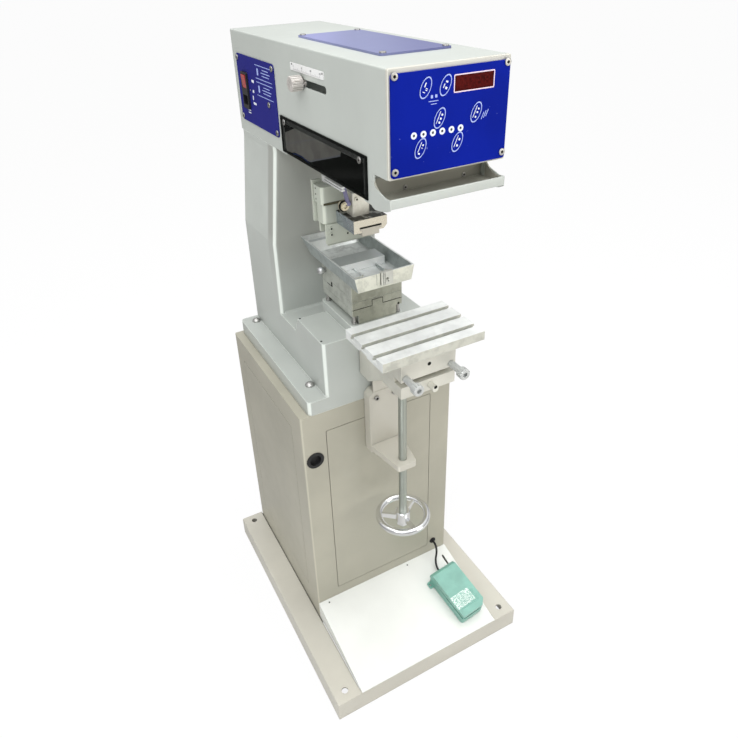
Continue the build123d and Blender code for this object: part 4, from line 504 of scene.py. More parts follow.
def make_finishes(looks):
    """Finishes of the machine, by the names used in the tables below."""
    grey = tuple(looks.paint_colour)
    green = tuple(looks.pedal_colour)
    block_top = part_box("pad_holder_block")[1].z
    made = {
        "sheet paint": enamel(grey, metal=0.04, coat=0.25, edge=0.0016, worn_edge_highlight=1.55),
        "cabinet paint": enamel(tinted(grey, 0.81, 0.735, 0.635), metal=0.08, edge=0.0016, worn_edge_highlight=1.60,
                                dirt=0.09),
        "stand paint": enamel(tinted(grey, 1.12, 1.02, 0.95), metal=0.08, edge=0.0016, worn_edge_highlight=1.40,
                              dirt=0.08),
        "flat black": moulded((0.008, 0.009, 0.008), 0.60, shine=0.1),
        "housing grey": moulded((0.86, 0.84, 0.76), 0.50, shine=0.2),
        "tube blue": moulded((0.030, 0.085, 0.42), 0.35, coat=0.2),
        "light aluminium": bare_metal((0.84, 0.85, 0.84), 0.40, (1.0, 0.1, 1.0), metal=0.30),
        "shade black": moulded((0.012, 0.012, 0.010), 0.70, shine=0.1),
        "brass": bare_metal((0.62, 0.47, 0.24), 0.30, EVEN),
        "frame paint": enamel((0.560, 0.550, 0.485), edge=0.0016, worn_edge_highlight=1.50),
        "cast paint": casting_enamel(grey),
        "tread paint": enamel(tuple(looks.tread_colour), gloss=0.36, coat=0.2),
        "lavender paint": lavender_paint(tuple(looks.cover_colour)),
        "dark blue paint": enamel((0.0190, 0.0200, 0.1950), gloss=0.40, coat=0.0, shine=0.04),
        "white paint": enamel((0.86, 0.86, 0.85), gloss=0.35, dirt=0.03),
        "bracket paint": enamel((0.54, 0.57, 0.49), gloss=0.40, dirt=0.10, edge=0.0012, worn_edge_highlight=1.60),
        # front and side are painted light and shade tones of the faces that look to the front and to the left
        "ground steel": bare_metal((0.52, 0.54, 0.48), 0.34, (1.0, 0.06, 1.0), metal=0.55, edge=0.0014,
                                   front=(0.41, 0.42, 0.35), side=(0.49, 0.51, 0.46)),
        "olive shadow": moulded((0.115, 0.107, 0.066), 0.60, shine=0.2),
        "trough paint": enamel(tinted(grey, 0.74, 0.68, 0.62), gloss=0.36, edge=0.0016, worn_edge_highlight=1.8),
        "knee steel": bare_metal((0.70, 0.69, 0.62), 0.34, (1.0, 0.06, 1.0), metal=0.45, edge=0.0012),
        "zinc": bare_metal((0.47, 0.465, 0.45), 0.26, (1.0, 1.0, 0.3), marks=0.06),
        "threaded zinc": threaded_zinc(),
        # The tray's front and left tones, its ledge and its step are painted light and shade
        "tray aluminium": bare_metal((0.79, 0.82, 0.81), 0.30, (0.3, 0.05, 1.0), marks=0.12, stain=0.20,
                                     metal=0.55, edge=0.0010, front=(0.80, 0.80, 0.70),
                                     side=(0.40, 0.44, 0.43), hollow=True),
        "insert steel": bare_metal((0.58, 0.55, 0.48), 0.34, (1.0, 1.0, 0.2), metal=0.6),
        "clamp aluminium": bare_metal((0.76, 0.76, 0.70), 0.30, (1.0, 0.1, 1.0), stain=0.08, metal=0.62),
        # front is a painted shade tone of the faces that look to the front
        "table aluminium": bare_metal((0.83, 0.85, 0.83), 0.42, (0.02, 1.0, 1.0), marks=0.08, metal=0.30,
                                      edge=0.0008, stain=0.07, front=(0.56, 0.56, 0.495)),
        "drive aluminium": bare_metal((0.62, 0.63, 0.63), 0.36, (0.3, 1.0, 1.0)),
        "knurled knob": knurled_metal((0.80, 0.76, 0.72), "stroke_knob", "Y", 36),
        "knurled clamp": knurled_metal((0.74, 0.76, 0.75), "clamp_screw_right", "X", 40, mirrored=True),
        "chrome": chrome_plate(),
        "chrome with painted sheen": sheen_painted_block(block_top),
        "ram steel": ram_steel(block_top + 0.042),
        "black rubber": moulded((0.010, 0.010, 0.011), 0.55, depth=0.15),
        "black plastic": moulded((0.012, 0.012, 0.014), 0.36),
        "red plastic": moulded((0.42, 0.015, 0.02), 0.20, coat=0.5),
        "panel blue": membrane(tuple(looks.panel_colour)),
        "display red": display_glass(),
        "digit red": glowing_red(),
        "smoked acrylic": smoked_sheet(),
        "hammered green": hammered_green(green, False),
        "sparkling green": hammered_green(green, True),
        "white ink": printed((0.80, 0.84, 0.92)),
        "pale blue ink": printed((0.38, 0.47, 0.86)),
        "black ink": printed((0.03, 0.03, 0.035)),
        "pink white rim": printed((0.86, 0.68, 0.78)),
        "air tube": moulded((0.175, 0.165, 0.300), 0.25, coat=0.3),
        "cream brass": bare_metal((0.72, 0.66, 0.50), 0.30, EVEN),
    }
    for name, material in made.items():
        material.name = name
    return made


NODE_FINISHES = {
    "sheet paint": ["head_frame", "head_cover"],
    "trough paint": ["trough_tray"],
    "cabinet paint": ["cabinet_shell", "front_cover_panel", "side_cover_panels"],
    "stand paint": ["base_frame", "jack_bracket"],
    "frame paint": ["front_frame"],
    "cast paint": ["cast_frame"],
    "tread paint": ["tread_plate"],
    "lavender paint": ["top_cover_plate"],
    "dark blue paint": ["side_plate"],
    "white paint": ["scale_plate"],
    "bracket paint": ["doctor_bracket", "doctor_plate", "doctor_block"],
    "ground steel": ["stage_base", "stage_middle", "stage_top"],
    "knee steel": ["knee_block", "saddle_block"],
    "zinc": ["casting_screws", "head_screws", "levelling_screws"],
    "knurled clamp": ["clamp_screw_left", "clamp_screw_right"],
    "threaded zinc": ["lead_screw"],
    "tray aluminium": ["ink_tray"],
    "clamp aluminium": ["tray_clamp"],
    "table aluminium": ["t_slot_table"],
    "drive aluminium": ["carriage", "stroke_cylinder", "pad_cylinder", "stage_knob"],
    "insert steel": ["pad_insert_plate"],
    "knurled knob": ["stroke_knob"],
    "chrome": ["handwheel", "guide_rods", "cylinder_rod", "doctor_rods"],
    "ram steel": ["pad_ram"],
    "chrome with painted sheen": ["pad_holder_block"],
    "black rubber": ["hole_plug", "cable_grommet", "pedal_cable"],
    "black plastic": ["power_inlet", "status_lamps"],
    "red plastic": ["rocker_switch"],
    "panel blue": ["control_panel"] + KEY_NAMES,
    "display red": ["display_window"],
    "smoked acrylic": ["side_windows"],
    "hammered green": ["pedal_base"],
    "sparkling green": ["pedal_treadle"],
}

FINISHES = {}


def finish_of(name):
    """The finish with that name, made once."""
    if not FINISHES:
        FINISHES.update(make_finishes(bpy.context.scene.pad_printer_looks))
    return FINISHES[name]


# Making pieces

def deselect():
    """Nothing is selected afterwards, and no object is being edited."""
    if bpy.context.object is not None and bpy.context.object.mode != "OBJECT":
        bpy.ops.object.mode_set(mode="OBJECT")
    bpy.ops.object.select_all(action="DESELECT")


def only(piece):
    """That piece alone is selected and active."""
    deselect()
    piece.select_set(True)
    bpy.context.view_layer.objects.active = piece


def fresh(kind, **values):
    """A new primitive, the only piece selected."""
    deselect()
    getattr(bpy.ops.mesh, f"primitive_{kind}_add")(**values)
    return bpy.context.object


def pick(piece, test):
    """Opens the piece for editing with just those faces selected whose middle and normal pass the test."""
    only(piece)
    bpy.ops.object.mode_set(mode="EDIT")
    bpy.ops.mesh.select_mode(type="FACE")
    bpy.ops.mesh.select_all(action="DESELECT")
    shape = bmesh.from_edit_mesh(piece.data)
    found = 0
    for face in shape.faces:
        if test(face.calc_center_median(), face.normal):
            face.select_set(True)
            found += 1
    bmesh.update_edit_mesh(piece.data)
    if not found:
        raise RuntimeError(f"{piece.name}: no face to work on")


def facing_up(centre, normal):
    return normal.z > 0.99


def any_face(centre, normal):
    return True


def close_edit(smooth=None):
    """Leaves edit mode and sets the shading."""
    bpy.ops.object.mode_set(mode="OBJECT")
    if smooth is not None:
        bpy.ops.object.shade_smooth_by_angle(angle=math.radians(smooth))


def extrude(height):
    """The selected faces move along Z and leave walls behind them."""
    bpy.ops.mesh.extrude_region_move(TRANSFORM_OT_translate={"value": (0, 0, height)})


def widen(share, height):
    """The selected faces, at that height, grow or shrink round the Z axis."""
    bpy.ops.transform.resize(value=(share, share, 1.0), center_override=(0, 0, height))


def settle(piece):
    """The piece's place goes into its mesh."""
    only(piece)
    bpy.ops.object.transform_apply(location=True, rotation=True, scale=True)


def round_bar(vertices, radius, height):
    """A round bar that stands on the origin."""
    bar = fresh("cylinder", vertices=vertices, radius=radius, depth=height, location=(0, 0, height / 2))
    settle(bar)
    return bar


def turned_to(place, facing):
    """A stand at that place whose Z axis faces that way."""
    return Matrix.Translation(place) @ Vector(facing).to_track_quat("Z", "Y").to_matrix().to_4x4()


def socket_screw_model(radius, height, socket, depth, edge):
    """A button head with a round collar and a hexagon socket with painted shade in it, standing on the
    origin.
    """
    screw = round_bar(28, radius, height)
    pick(screw, facing_up)
    bpy.ops.mesh.bevel(offset=edge, segments=3, affect="EDGES")
    close_edit()
    cutter = fresh("cylinder", vertices=6, radius=socket, depth=2 * depth, location=(0, 0, height))
    settle(cutter)
    only(screw)
    cut = screw.modifiers.new("socket", "BOOLEAN")
    cut.operation = "DIFFERENCE"
    cut.object = cutter
    bpy.ops.object.modifier_apply(modifier="socket")
    bpy.data.objects.remove(cutter)
    screw.data.materials.clear()
    # The socket's floor and walls get the dark finish as painted shade
    for finish in ("zinc", "shade black"):
        screw.data.materials.append(finish_of(finish))
    pick(screw, lambda centre, normal: centre.xy.length < socket and centre.z < height - 0.2 * depth)
    screw.active_material_index = 1
    bpy.ops.object.material_slot_assign()
    close_edit(smooth=35)
    return screw


def seat(node, start, heading):
    """Stand of a small piece on a node: the first face met from a start point, and that face's direction."""
    heading = Vector(heading)
    met, place, normal, _ = NODES[node].ray_cast(Vector(start), heading, distance=0.3)
    if not met:
        raise RuntimeError(f"nothing of {node} lies ahead of {start}")
    return turned_to(place, -normal if normal.dot(heading) > 0 else normal)


def cut_sheet(name, outline, stand, thickness):
    """A sheet cut to that outline, given across and up, and laid in the plane of the stand."""
    sheet = fresh("circle", vertices=len(outline), radius=1.0, fill_type="NGON")
    sheet.name = name
    for vertex, (across, up) in zip(sheet.data.vertices, outline):
        vertex.co = (across, up, 0.0)
    pick(sheet, any_face)
    extrude(thickness)
    bpy.ops.mesh.select_all(action="SELECT")
    bpy.ops.mesh.normals_make_consistent(inside=False)
    close_edit()
    sheet.data.transform(stand)
    return sheet


def block_piece(name, low, high, rounding):
    """A block between two corners with its edges rounded."""
    low, high = Vector(low), Vector(high)
    piece = fresh("cube", size=1.0, location=(low + high) / 2)
    piece.name = name
    piece.scale = high - low
    settle(piece)
    pick(piece, any_face)
    bpy.ops.mesh.bevel(offset=rounding, segments=3, affect="EDGES")
    close_edit(smooth=40)
    return piece


def joined(name, *parts):
    """Pieces made one."""
    deselect()
    for part in parts:
        part.select_set(True)
    bpy.context.view_layer.objects.active = parts[0]
    if len(parts) > 1:
        bpy.ops.object.join()
    parts[0].name = name
    return parts[0]


def bar_model():
    """A flat bar for prints and for painted shade, one unit long and wide, on the XY plane, with cut corners.
    """
    bar = fresh("plane", size=1.0)
    pick(bar, facing_up)
    bpy.ops.mesh.bevel(offset=0.12, segments=1, affect="VERTICES")
    bpy.ops.mesh.select_all(action="SELECT")
    extrude(1.0)
    close_edit()
    return bar


def ring_model(inner_share):
    """A flat ring of radius one on the XY plane, one unit thick."""
    ring = fresh("circle", vertices=40, radius=1.0, fill_type="NGON")
    pick(ring, any_face)
    bpy.ops.mesh.inset(thickness=1.0 - inner_share)
    bpy.ops.mesh.delete(type="FACE")
    bpy.ops.mesh.select_all(action="SELECT")
    extrude(1.0)
    close_edit()
    return ring


def dot_model():
    """A round disc of radius one on the XY plane, one unit thick, with a broken edge."""
    dot = fresh("circle", vertices=20, radius=1.0, fill_type="NGON")
    pick(dot, any_face)
    extrude(1.0)
    widen(0.94, 1.0)
    close_edit()
    return dot


def give(piece, finish, body="frame"):
    """Finish and body of a new piece; a piece of two finishes keeps its second one."""
    if len(piece.data.materials) > 1:
        piece.data.materials[0] = finish_of(finish)
    else:
        piece.data.materials.clear()
        piece.data.materials.append(finish_of(finish))
    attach(piece, body)
    return piece


def stamped(model, name, places, finish, body="frame"):
    """Copies of a model at those places, joined to one dressed piece."""
    copies = []
    for index, place in enumerate(places):
        mesh = model.data.copy()
        mesh.transform(place)
        if place.determinant() < 0:
            mesh.flip_normals()
        copy = bpy.data.objects.new(f"{name}_{index}", mesh)
        bpy.context.scene.collection.objects.link(copy)
        copies.append(copy)
    return give(joined(name, *copies), finish, body)


def on_front(x, z, width, height, turn=0.0, thickness=INK, face=PANEL_FACE):
    """Where a unit bar or ring goes so that it lies on the control panel, or on another face in front."""
    stand = Matrix(((1, 0, 0, x), (0, 0, -1, face), (0, 1, 0, z), (0, 0, 0, 1)))
    return stand @ Matrix.Rotation(-turn, 4, "Z") @ Matrix.Diagonal((width, height, thickness, 1.0))


def on_left(y, z, width, height, thickness=INK, face=SIDE_FACE):
    """Where a unit bar goes so that it lies on the side plate, or on another face on the left."""
    return left_plane(face, y, z) @ Matrix.Diagonal((width, height, thickness, 1.0))


def left_plane(x, y=0.0, z=0.0):
    """The plane across X there, with minus Y across and Z up."""
    return Matrix(((0, 0, -1, x), (-1, 0, 0, y), (0, 1, 0, z), (0, 0, 0, 1)))


def drop(*models):
    """Models that have been copied are taken away."""
    for model in models:
        bpy.data.objects.remove(model)


class PadPrinterLooks(bpy.types.PropertyGroup):
    """Colours and sizes of the dressing."""
    paint_colour: bpy.props.FloatVectorProperty(
        name="Paint", description="Grey enamel of the housing and the casting", subtype="COLOR",
        default=(0.510, 0.540, 0.505), min=0.0, max=1.0)
    tread_colour: bpy.props.FloatVectorProperty(
        name="Tread", description="Near white enamel of the tread plate", subtype="COLOR",
        default=(0.760, 0.775, 0.740), min=0.0, max=1.0)
    cover_colour: bpy.props.FloatVectorProperty(
        name="Top cover", description="Enamel of the service cover on top", subtype="COLOR",
        default=(0.150, 0.165, 0.445), min=0.0, max=1.0)
    panel_colour: bpy.props.FloatVectorProperty(
        name="Panel", description="Blue of the control panel membrane", subtype="COLOR",
        default=(0.0028, 0.0125, 0.2650), min=0.0, max=1.0)
    pedal_colour: bpy.props.FloatVectorProperty(
        name="Foot switch", description="Green enamel of the foot switch", subtype="COLOR",
        default=(0.190, 0.430, 0.355), min=0.0, max=1.0)
    ring_width: bpy.props.FloatProperty(
        name="Key ring", description="Share of a key's printed ring that is open", default=0.88, min=0.5,
        max=0.97)
    button_radius: bpy.props.FloatProperty(
        name="Screw head", description="Radius of the head's button screws", default=0.0050, min=0.002,
        max=0.008, unit="LENGTH")
    lamp_power: bpy.props.FloatProperty(
        name="Lamp", description="Power of the main soft lamp in watts", default=26.0, min=0.0, max=500.0)


class PADPRINTER_OT_stage(bpy.types.Operator):
    """Camera of the photograph, pale floor and soft lamps"""
    bl_idname = "pad_printer.stage"
    bl_label = "Stage"

    def execute(self, context):
        scene = context.scene
        place_camera(scene)
        lay_floor()
        scene.view_settings.view_transform = "Standard"
        make_sky(scene)
        for lamp in LAMPS:
            add_lamp(scene, *lamp)
        return {"FINISHED"}


def place_camera(scene):
    data = bpy.data.cameras.new("camera")
    data.sensor_width = SENSOR_WIDTH
    data.lens = SENSOR_WIDTH * FOCAL_PIXELS / FRAME_PIXELS
    data.shift_x = (FRAME_PIXELS / 2 - PRINCIPAL_POINT[0]) / FRAME_PIXELS
    data.shift_y = (PRINCIPAL_POINT[1] - FRAME_PIXELS / 2) / FRAME_PIXELS
    data.clip_start = 0.05
    data.clip_end = 60.0
    camera = bpy.data.objects.new("camera", data)
    scene.collection.objects.link(camera)
    right = Vector(CAMERA_RIGHT).normalized()
    back = -Vector(CAMERA_FORWARD).normalized()
    up = back.cross(right).normalized()
    turn = Matrix((right, up, back)).transposed()
    camera.matrix_world = Matrix.Translation(CAMERA_PLACE) @ turn.to_4x4()
    scene.camera = camera


def lay_floor():
    """Floor that looks white to the camera and gives bare metal a gradient to mirror."""
    floor = fresh("plane", size=160.0, location=(0, 0, -0.0005))
    floor.name = "studio_floor"
    settle(floor)
    finish = Finish()
    finish.owner.name = "studio floor"
    lit = finish.node("BsdfPrincipled", {"Base Color": (0.86, 0.86, 0.86, 1.0), "Roughness": 0.9,
                                         "Specular IOR Level": 0.0}, "BSDF")
    glow = finish.node("Emission", {"Color": (*WHITE, 1.0), "Strength": 1.0})
    camera_ray = finish.node("LightPath", output="Is Camera Ray")
    glossy_ray = finish.node("LightPath", output="Is Glossy Ray")
    near = finish.between(finish.along("Y") - finish.along("X") * 0.25, 1.2, -1.4, 0.34, 1.0)
    mirrored = finish.node("Emission", {"Color": (1.0, 0.985, 0.95, 1.0), "Strength": near})
    plain = finish.node("MixShader", {0: camera_ray * 0.90, 1: lit, 2: glow})
    whole = finish.node("MixShader", {0: glossy_ray, 1: plain, 2: mirrored})
    floor.data.materials.append(finish.ended(whole))


def make_sky(scene):
    """Sky that is white to the camera and darker near the horizon for everything it lights."""
    scene.world = bpy.data.worlds.new("studio")
    sky = Finish(scene.world)
    seen = sky.math("MAXIMUM", sky.node("LightPath", output="Is Camera Ray"),
                    sky.node("LightPath", output="Is Transmission Ray"))
    height = sky.part(sky.node("TexCoord", output="Generated"), "Z")
    level = sky.node("Mix", {0: seen, 2: sky.between(height, -0.05, 0.90, 0.30, 1.0), 3: 1.0})
    sky.ended(sky.node("Background", {"Color": (*WHITE, 1.0), "Strength": level}), "World")


def add_lamp(scene, name, place, target, size, share, colour):
    data = bpy.data.lights.new(name, "AREA")
    data.shape = "DISK"
    data.size = size
    data.energy = scene.pad_printer_looks.lamp_power * share
    data.color = colour
    lamp = bpy.data.objects.new(name, data)
    lamp.location = place
    lamp.rotation_euler = (Vector(target) - Vector(place)).to_track_quat("-Z", "Y").to_euler()
    scene.collection.objects.link(lamp)


class PADPRINTER_OT_cable(bpy.types.Operator):
    """Cable from the cabinet's grommet to the foot switch"""
    bl_idname = "pad_printer.cable"
    bl_label = "Foot switch cable"

    def execute(self, context):
        data = bpy.data.curves.new("foot_switch_cable", "CURVE")
        data.dimensions = "3D"
        data.bevel_depth = CABLE_DIAMETER / 2
        data.bevel_resolution = 4
        data.use_fill_caps = True
        spline = data.splines.new("NURBS")
        spline.points.add(len(CABLE_POINTS) - 1)
        for point, place in zip(spline.points, CABLE_POINTS):
            point.co = (*place, 1.0)
        spline.order_u = 3
        spline.use_endpoint_u = True
        spline.resolution_u = 14
        cable = bpy.data.objects.new("foot_switch_cable", data)
        context.scene.collection.objects.link(cable)
        data.materials.append(finish_of("black rubber"))
        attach(cable, "frame")
        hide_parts("pedal_cable")
        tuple(CABLE_POINTS[0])
        return {"FINISHED"}


class PADPRINTER_OT_finishes(bpy.types.Operator):
    """Finishes of all the pieces that come with the frame"""
    bl_idname = "pad_printer.finishes"
    bl_label = "Finishes"

    def execute(self, context):
        dressed = set()
        for finish, names in NODE_FINISHES.items():
            for name in names:
                material = finish_of(finish)
                node = NODES[name]
                if not node.material_slots:
                    node.data.materials.append(material)
                for slot in node.material_slots:
                    slot.material = material
                dressed.add(name)
        left = sorted(set(NODES) - dressed)
        if left:
            raise RuntimeError(f"no finish for {left}")
        return {"FINISHED"}


class PADPRINTER_OT_panel_print(bpy.types.Operator):
    """Key rings, icons, lamp rings, display rim and digits of the control panel"""
    bl_idname = "pad_printer.panel_print"
    bl_label = "Panel print"

    def execute(self, context):
        bar = bar_model()
        ring = ring_model(context.scene.pad_printer_looks.ring_width)
        washer = ring_model(0.40)
        for name in KEY_NAMES:
            print_key(name, bar, ring)
        places = [on_front(x, z, LAMP_RING, LAMP_RING) for x, z in LAMP_ROW]
        stamped(washer, "lamp_rings", places, "white ink")
        frame_display()
        show_digits(bar)
        print_panel_marks(bar)
        drop(bar, ring, washer)
        return {"FINISHED"}


def print_key(name, bar, ring):
    """The printed ring and a plain icon of one key."""
    low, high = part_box(name)
    x = (low.x + high.x) / 2
    z = (low.z + high.z) / 2
    body = "key_body_" + name[-1]
    stamped(ring, f"{name}_ring", [on_front(x, z, *KEY_RING, KEY_TILT, face=low.y)], "pale blue ink", body)
    along = Vector((math.sin(KEY_TILT), math.cos(KEY_TILT)))
    side = Vector((math.cos(KEY_TILT), -math.sin(KEY_TILT)))
    marks = []
    for across, up, width, height in KEY_ICONS[name]:
        spot = Vector((x, z)) + side * across + along * up
        marks.append(on_front(spot.x, spot.y, width, height, KEY_TILT, face=low.y))
    stamped(bar, f"{name}_icon", marks, "white ink", body)


# Half width and half height of a key's ring, and the radius of a lamp's
KEY_RING = (0.0076, 0.0140)
LAMP_RING = 0.0045

# Icons of the keys, plain bars given as (across, along, width, height) on the leaning key
KEY_ICONS = {
    "key_1": [(-0.0020, 0.0030, 0.0016, 0.0060), (0.0018, -0.0005, 0.0030, 0.0010),
              (0.0018, -0.0025, 0.0030, 0.0010), (-0.0005, -0.0060, 0.0036, 0.0010)],
    "key_2": [(0.0, 0.0045, 0.0034, 0.0022), (-0.0020, -0.0015, 0.0012, 0.0056),
              (0.0022, -0.0030, 0.0030, 0.0030)],
    "key_3": [(-0.0022, 0.0, 0.0009, 0.0165), (0.0018, 0.0050, 0.0026, 0.0026),
              (0.0018, -0.0002, 0.0026, 0.0026), (0.0018, -0.0054, 0.0026, 0.0026)],
    "key_4": [(-0.0022, 0.0, 0.0009, 0.0165), (0.0018, 0.0052, 0.0024, 0.0022),
              (0.0018, 0.0005, 0.0024, 0.0022), (0.0018, -0.0060, 0.0024, 0.0022)],
    "key_5": [(-0.0018, 0.0010, 0.0009, 0.0140), (0.0020, 0.0050, 0.0022, 0.0022),
              (0.0020, 0.0010, 0.0022, 0.0008), (0.0005, -0.0070, 0.0030, 0.0022)],
    "key_6": [(-0.0022, 0.0, 0.0009, 0.0165), (0.0018, 0.0040, 0.0026, 0.0030),
              (0.0018, -0.0045, 0.0026, 0.0030)],
}


def frame_display():
    """The pale rim round the counter window."""
    low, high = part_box("display_window")
    width = high.x - low.x
    height = high.z - low.z
    border = 0.0013
    rim = fresh("plane", size=1.0)
    rim.name = "display_rim"
    rim.scale = (width, height, 1.0)
    settle(rim)
    pick(rim, facing_up)
    bpy.ops.mesh.bevel(offset=0.0016, segments=4, affect="VERTICES")
    bpy.ops.mesh.select_all(action="SELECT")
    bpy.ops.mesh.inset(thickness=border)
    bpy.ops.mesh.delete(type="FACE")
    bpy.ops.mesh.select_all(action="SELECT")
    extrude(0.00015)
    close_edit()
    rim.data.transform(on_front((low.x + high.x) / 2, (low.z + high.z) / 2, (width + 2 * border) / width,
                                (height + 2 * border) / height, thickness=1.0))
    give(rim, "pink white rim")


# Segments of a digit as (across, up, lying down), and the segments of the digits that are shown
SEGMENTS = {"top": (0.0, 1.0, True), "middle": (0.0, 0.0, True), "bottom": (0.0, -1.0, True),
            "upper left": (-1.0, 0.5, False), "upper right": (1.0, 0.5, False),
            "lower left": (-1.0, -0.5, False), "lower right": (1.0, -0.5, False)}
DIGITS = {0: ["top", "bottom", "upper left", "upper right", "lower left", "lower right"],
          2: ["top", "middle", "bottom", "upper right", "lower left"],
          8: list(SEGMENTS)}


def show_digits(bar):
    """Four dim digits in the counter window."""
    low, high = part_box("display_window")
    middle = (low.z + high.z) / 2
    half_width, half_height, stroke = 0.0028, 0.0056, 0.0013
    places = []
    for index, digit in enumerate((0, 0, 2, 8)):
        x = low.x + (high.x - low.x) * (index + 0.75) / 4.5
        for segment in DIGITS[digit]:
            across, up, lying = SEGMENTS[segment]
            size = (2 * half_width - stroke, stroke) if lying else (stroke, half_height - stroke)
            places.append(on_front(x + across * half_width, middle + up * half_height, *size, face=low.y))
    stamped(bar, "counter_digits", places, "digit red")


def print_panel_marks(bar):
    """Small plain marks beside the keys, in place of lettering, as (x, z, width, height, turn)."""
    marks = [(-0.0315, 1.2318, 0.0032, 0.0040), (-0.0250, 1.2320, 0.0032, 0.0040),
             (-0.0288, 1.2262, 0.0150, 0.0009), (-0.0284, 1.2226, 0.0090, 0.0009)]
    marks += [(0.0500 + 0.0036 * index, 1.1980 + 0.0014 * index, 0.0010, 0.0100, KEY_TILT)
              for index in range(3)]
    stamped(bar, "panel_marks", [on_front(*mark) for mark in marks], "pale blue ink")


# Patches printed on the side plate, as (y, z, width, height)
SIDE_PATCHES = [(0.1950, 1.1903, 0.0120, 0.0050), (0.1965, 1.1722, 0.0070, 0.0050),
                (0.2010, 1.1600, 0.0045, 0.0080), (0.1950, 1.1505, 0.0150, 0.0042),
                (0.2300, 1.1335, 0.0140, 0.0022), (0.2300, 1.1285, 0.0140, 0.0022)]


class PADPRINTER_OT_side_print(bpy.types.Operator):
    """Plain frames and patches on the side plate, and the scale's divisions and numbers"""
    bl_idname = "pad_printer.side_print"
    bl_label = "Side print"

    def execute(self, context):
        bar = bar_model()
        frames = []
        for top, bottom in ((1.2215, 1.1990), (1.1925, 1.1695)):
            middle = (top + bottom) / 2
            frames += [(0.1360, z, 0.0800, 0.0012) for z in (top, bottom)]
            frames += [(0.1260, middle + 0.0055 - 0.0050 * row, width, 0.0014)
                       for row, width in enumerate((0.030, 0.044, 0.036))]
            frames.append((0.1640, middle, 0.0070, 0.0120))
        stamped(bar, "side_plate_print", [on_left(*frame) for frame in frames], "pale blue ink")
        stamped(bar, "side_plate_marks", [on_left(*patch) for patch in SIDE_PATCHES], "white ink")
        divide_scale(bar)
        drop(bar)
        return {"FINISHED"}


def divide_scale(bar):
    """Divisions and numbers of the scale strip."""
    margin, divisions, longer_every = 0.012, 30, 5
    start = SCALE_HIGH.y - margin
    run = SCALE_HIGH.y - SCALE_LOW.y - 2 * margin
    places = []
    for index in range(divisions + 1):
        tall = 0.0040 if index % longer_every == 0 else 0.0022
        places.append(on_left(start - index * run / divisions, SCALE_LOW.z + 0.0008 + tall / 2, 0.00035, tall,
                              face=SCALE_LOW.x))
    stamped(bar, "scale_divisions", places, "black ink")
    numbers = []
    relief = 0.00005
    for index in range(4):
        deselect()
        bpy.ops.object.text_add()
        text = bpy.context.object.data
        text.body = str(50 * index)
        text.align_x = "CENTER"
        text.size = 0.0042
        text.extrude = relief
        bpy.ops.object.convert(target="MESH")
        number = bpy.context.object
        number.data.transform(left_plane(SCALE_LOW.x - relief, start - index * run / 3, SCALE_LOW.z + 0.0056))
        numbers.append(number)
    give(joined("scale_numbers", *numbers), "black ink")


class PADPRINTER_OT_screws(bpy.types.Operator):
    """Button screws of the head, with their hexagon sockets"""
    bl_idname = "pad_printer.screws"
    bl_label = "Head screws"

    def execute(self, context):
        radius = context.scene.pad_printer_looks.button_radius
        front = socket_screw_model(radius, 0.0016, radius * 0.46, 0.0013, 0.0005)
        other = socket_screw_model(radius, 0.0020, radius * 0.36, 0.0015, 0.0007)
        front_places, other_places = screw_places(NODES["head_screws"])
        heads = stamped(front, "panel_screw_heads", front_places, "zinc")
        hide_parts("head_screws")
        stamped(other, "head_screw_heads", other_places, "zinc")
        drop(front, other)
        return {"FINISHED"}


def screw_places(node):
    """Stand of every screw in a node, read from its loose solids: those of the front and the others."""
    shape = bmesh.new()
    shape.from_mesh(node.data)
    bmesh.ops.remove_doubles(shape, verts=shape.verts, dist=1e-6)
    seen = set()
    front, other = [], []
    for start in shape.verts:
        if start in seen:
            continue
        island, queue = [], [start]
        seen.add(start)
        while queue:
            vertex = queue.pop()
            island.append(vertex.co.copy())
            for edge in vertex.link_edges:
                far = edge.other_vert(vertex)
                if far not in seen:
                    seen.add(far)
                    queue.append(far)
        low, high = (Vector([end(point[axis] for point in island) for axis in range(3)])
                     for end in (min, max))
        size = high - low
        axis = min(range(3), key=lambda which: size[which])
        foot = (low + high) / 2
        facing = Vector((0, 0, 0))
        facing[axis] = 1.0 if foot[axis] > 0 and axis != 1 else -1.0
        foot[axis] = low[axis] if facing[axis] > 0 else high[axis]
        (front if axis == 1 else other).append(turned_to(foot, facing))
    shape.free()
    return front, other


class PADPRINTER_OT_air_fittings(bpy.types.Operator):
    """Ringed fitting and air tube at the pad ram, and the light arm on the doctor rod"""
    bl_idname = "pad_printer.air_fittings"
    bl_label = "Air fittings"

    def execute(self, context):
        make_ringed_fitting()
        make_air_tube()
        make_doctor_arm()
        return {"FINISHED"}


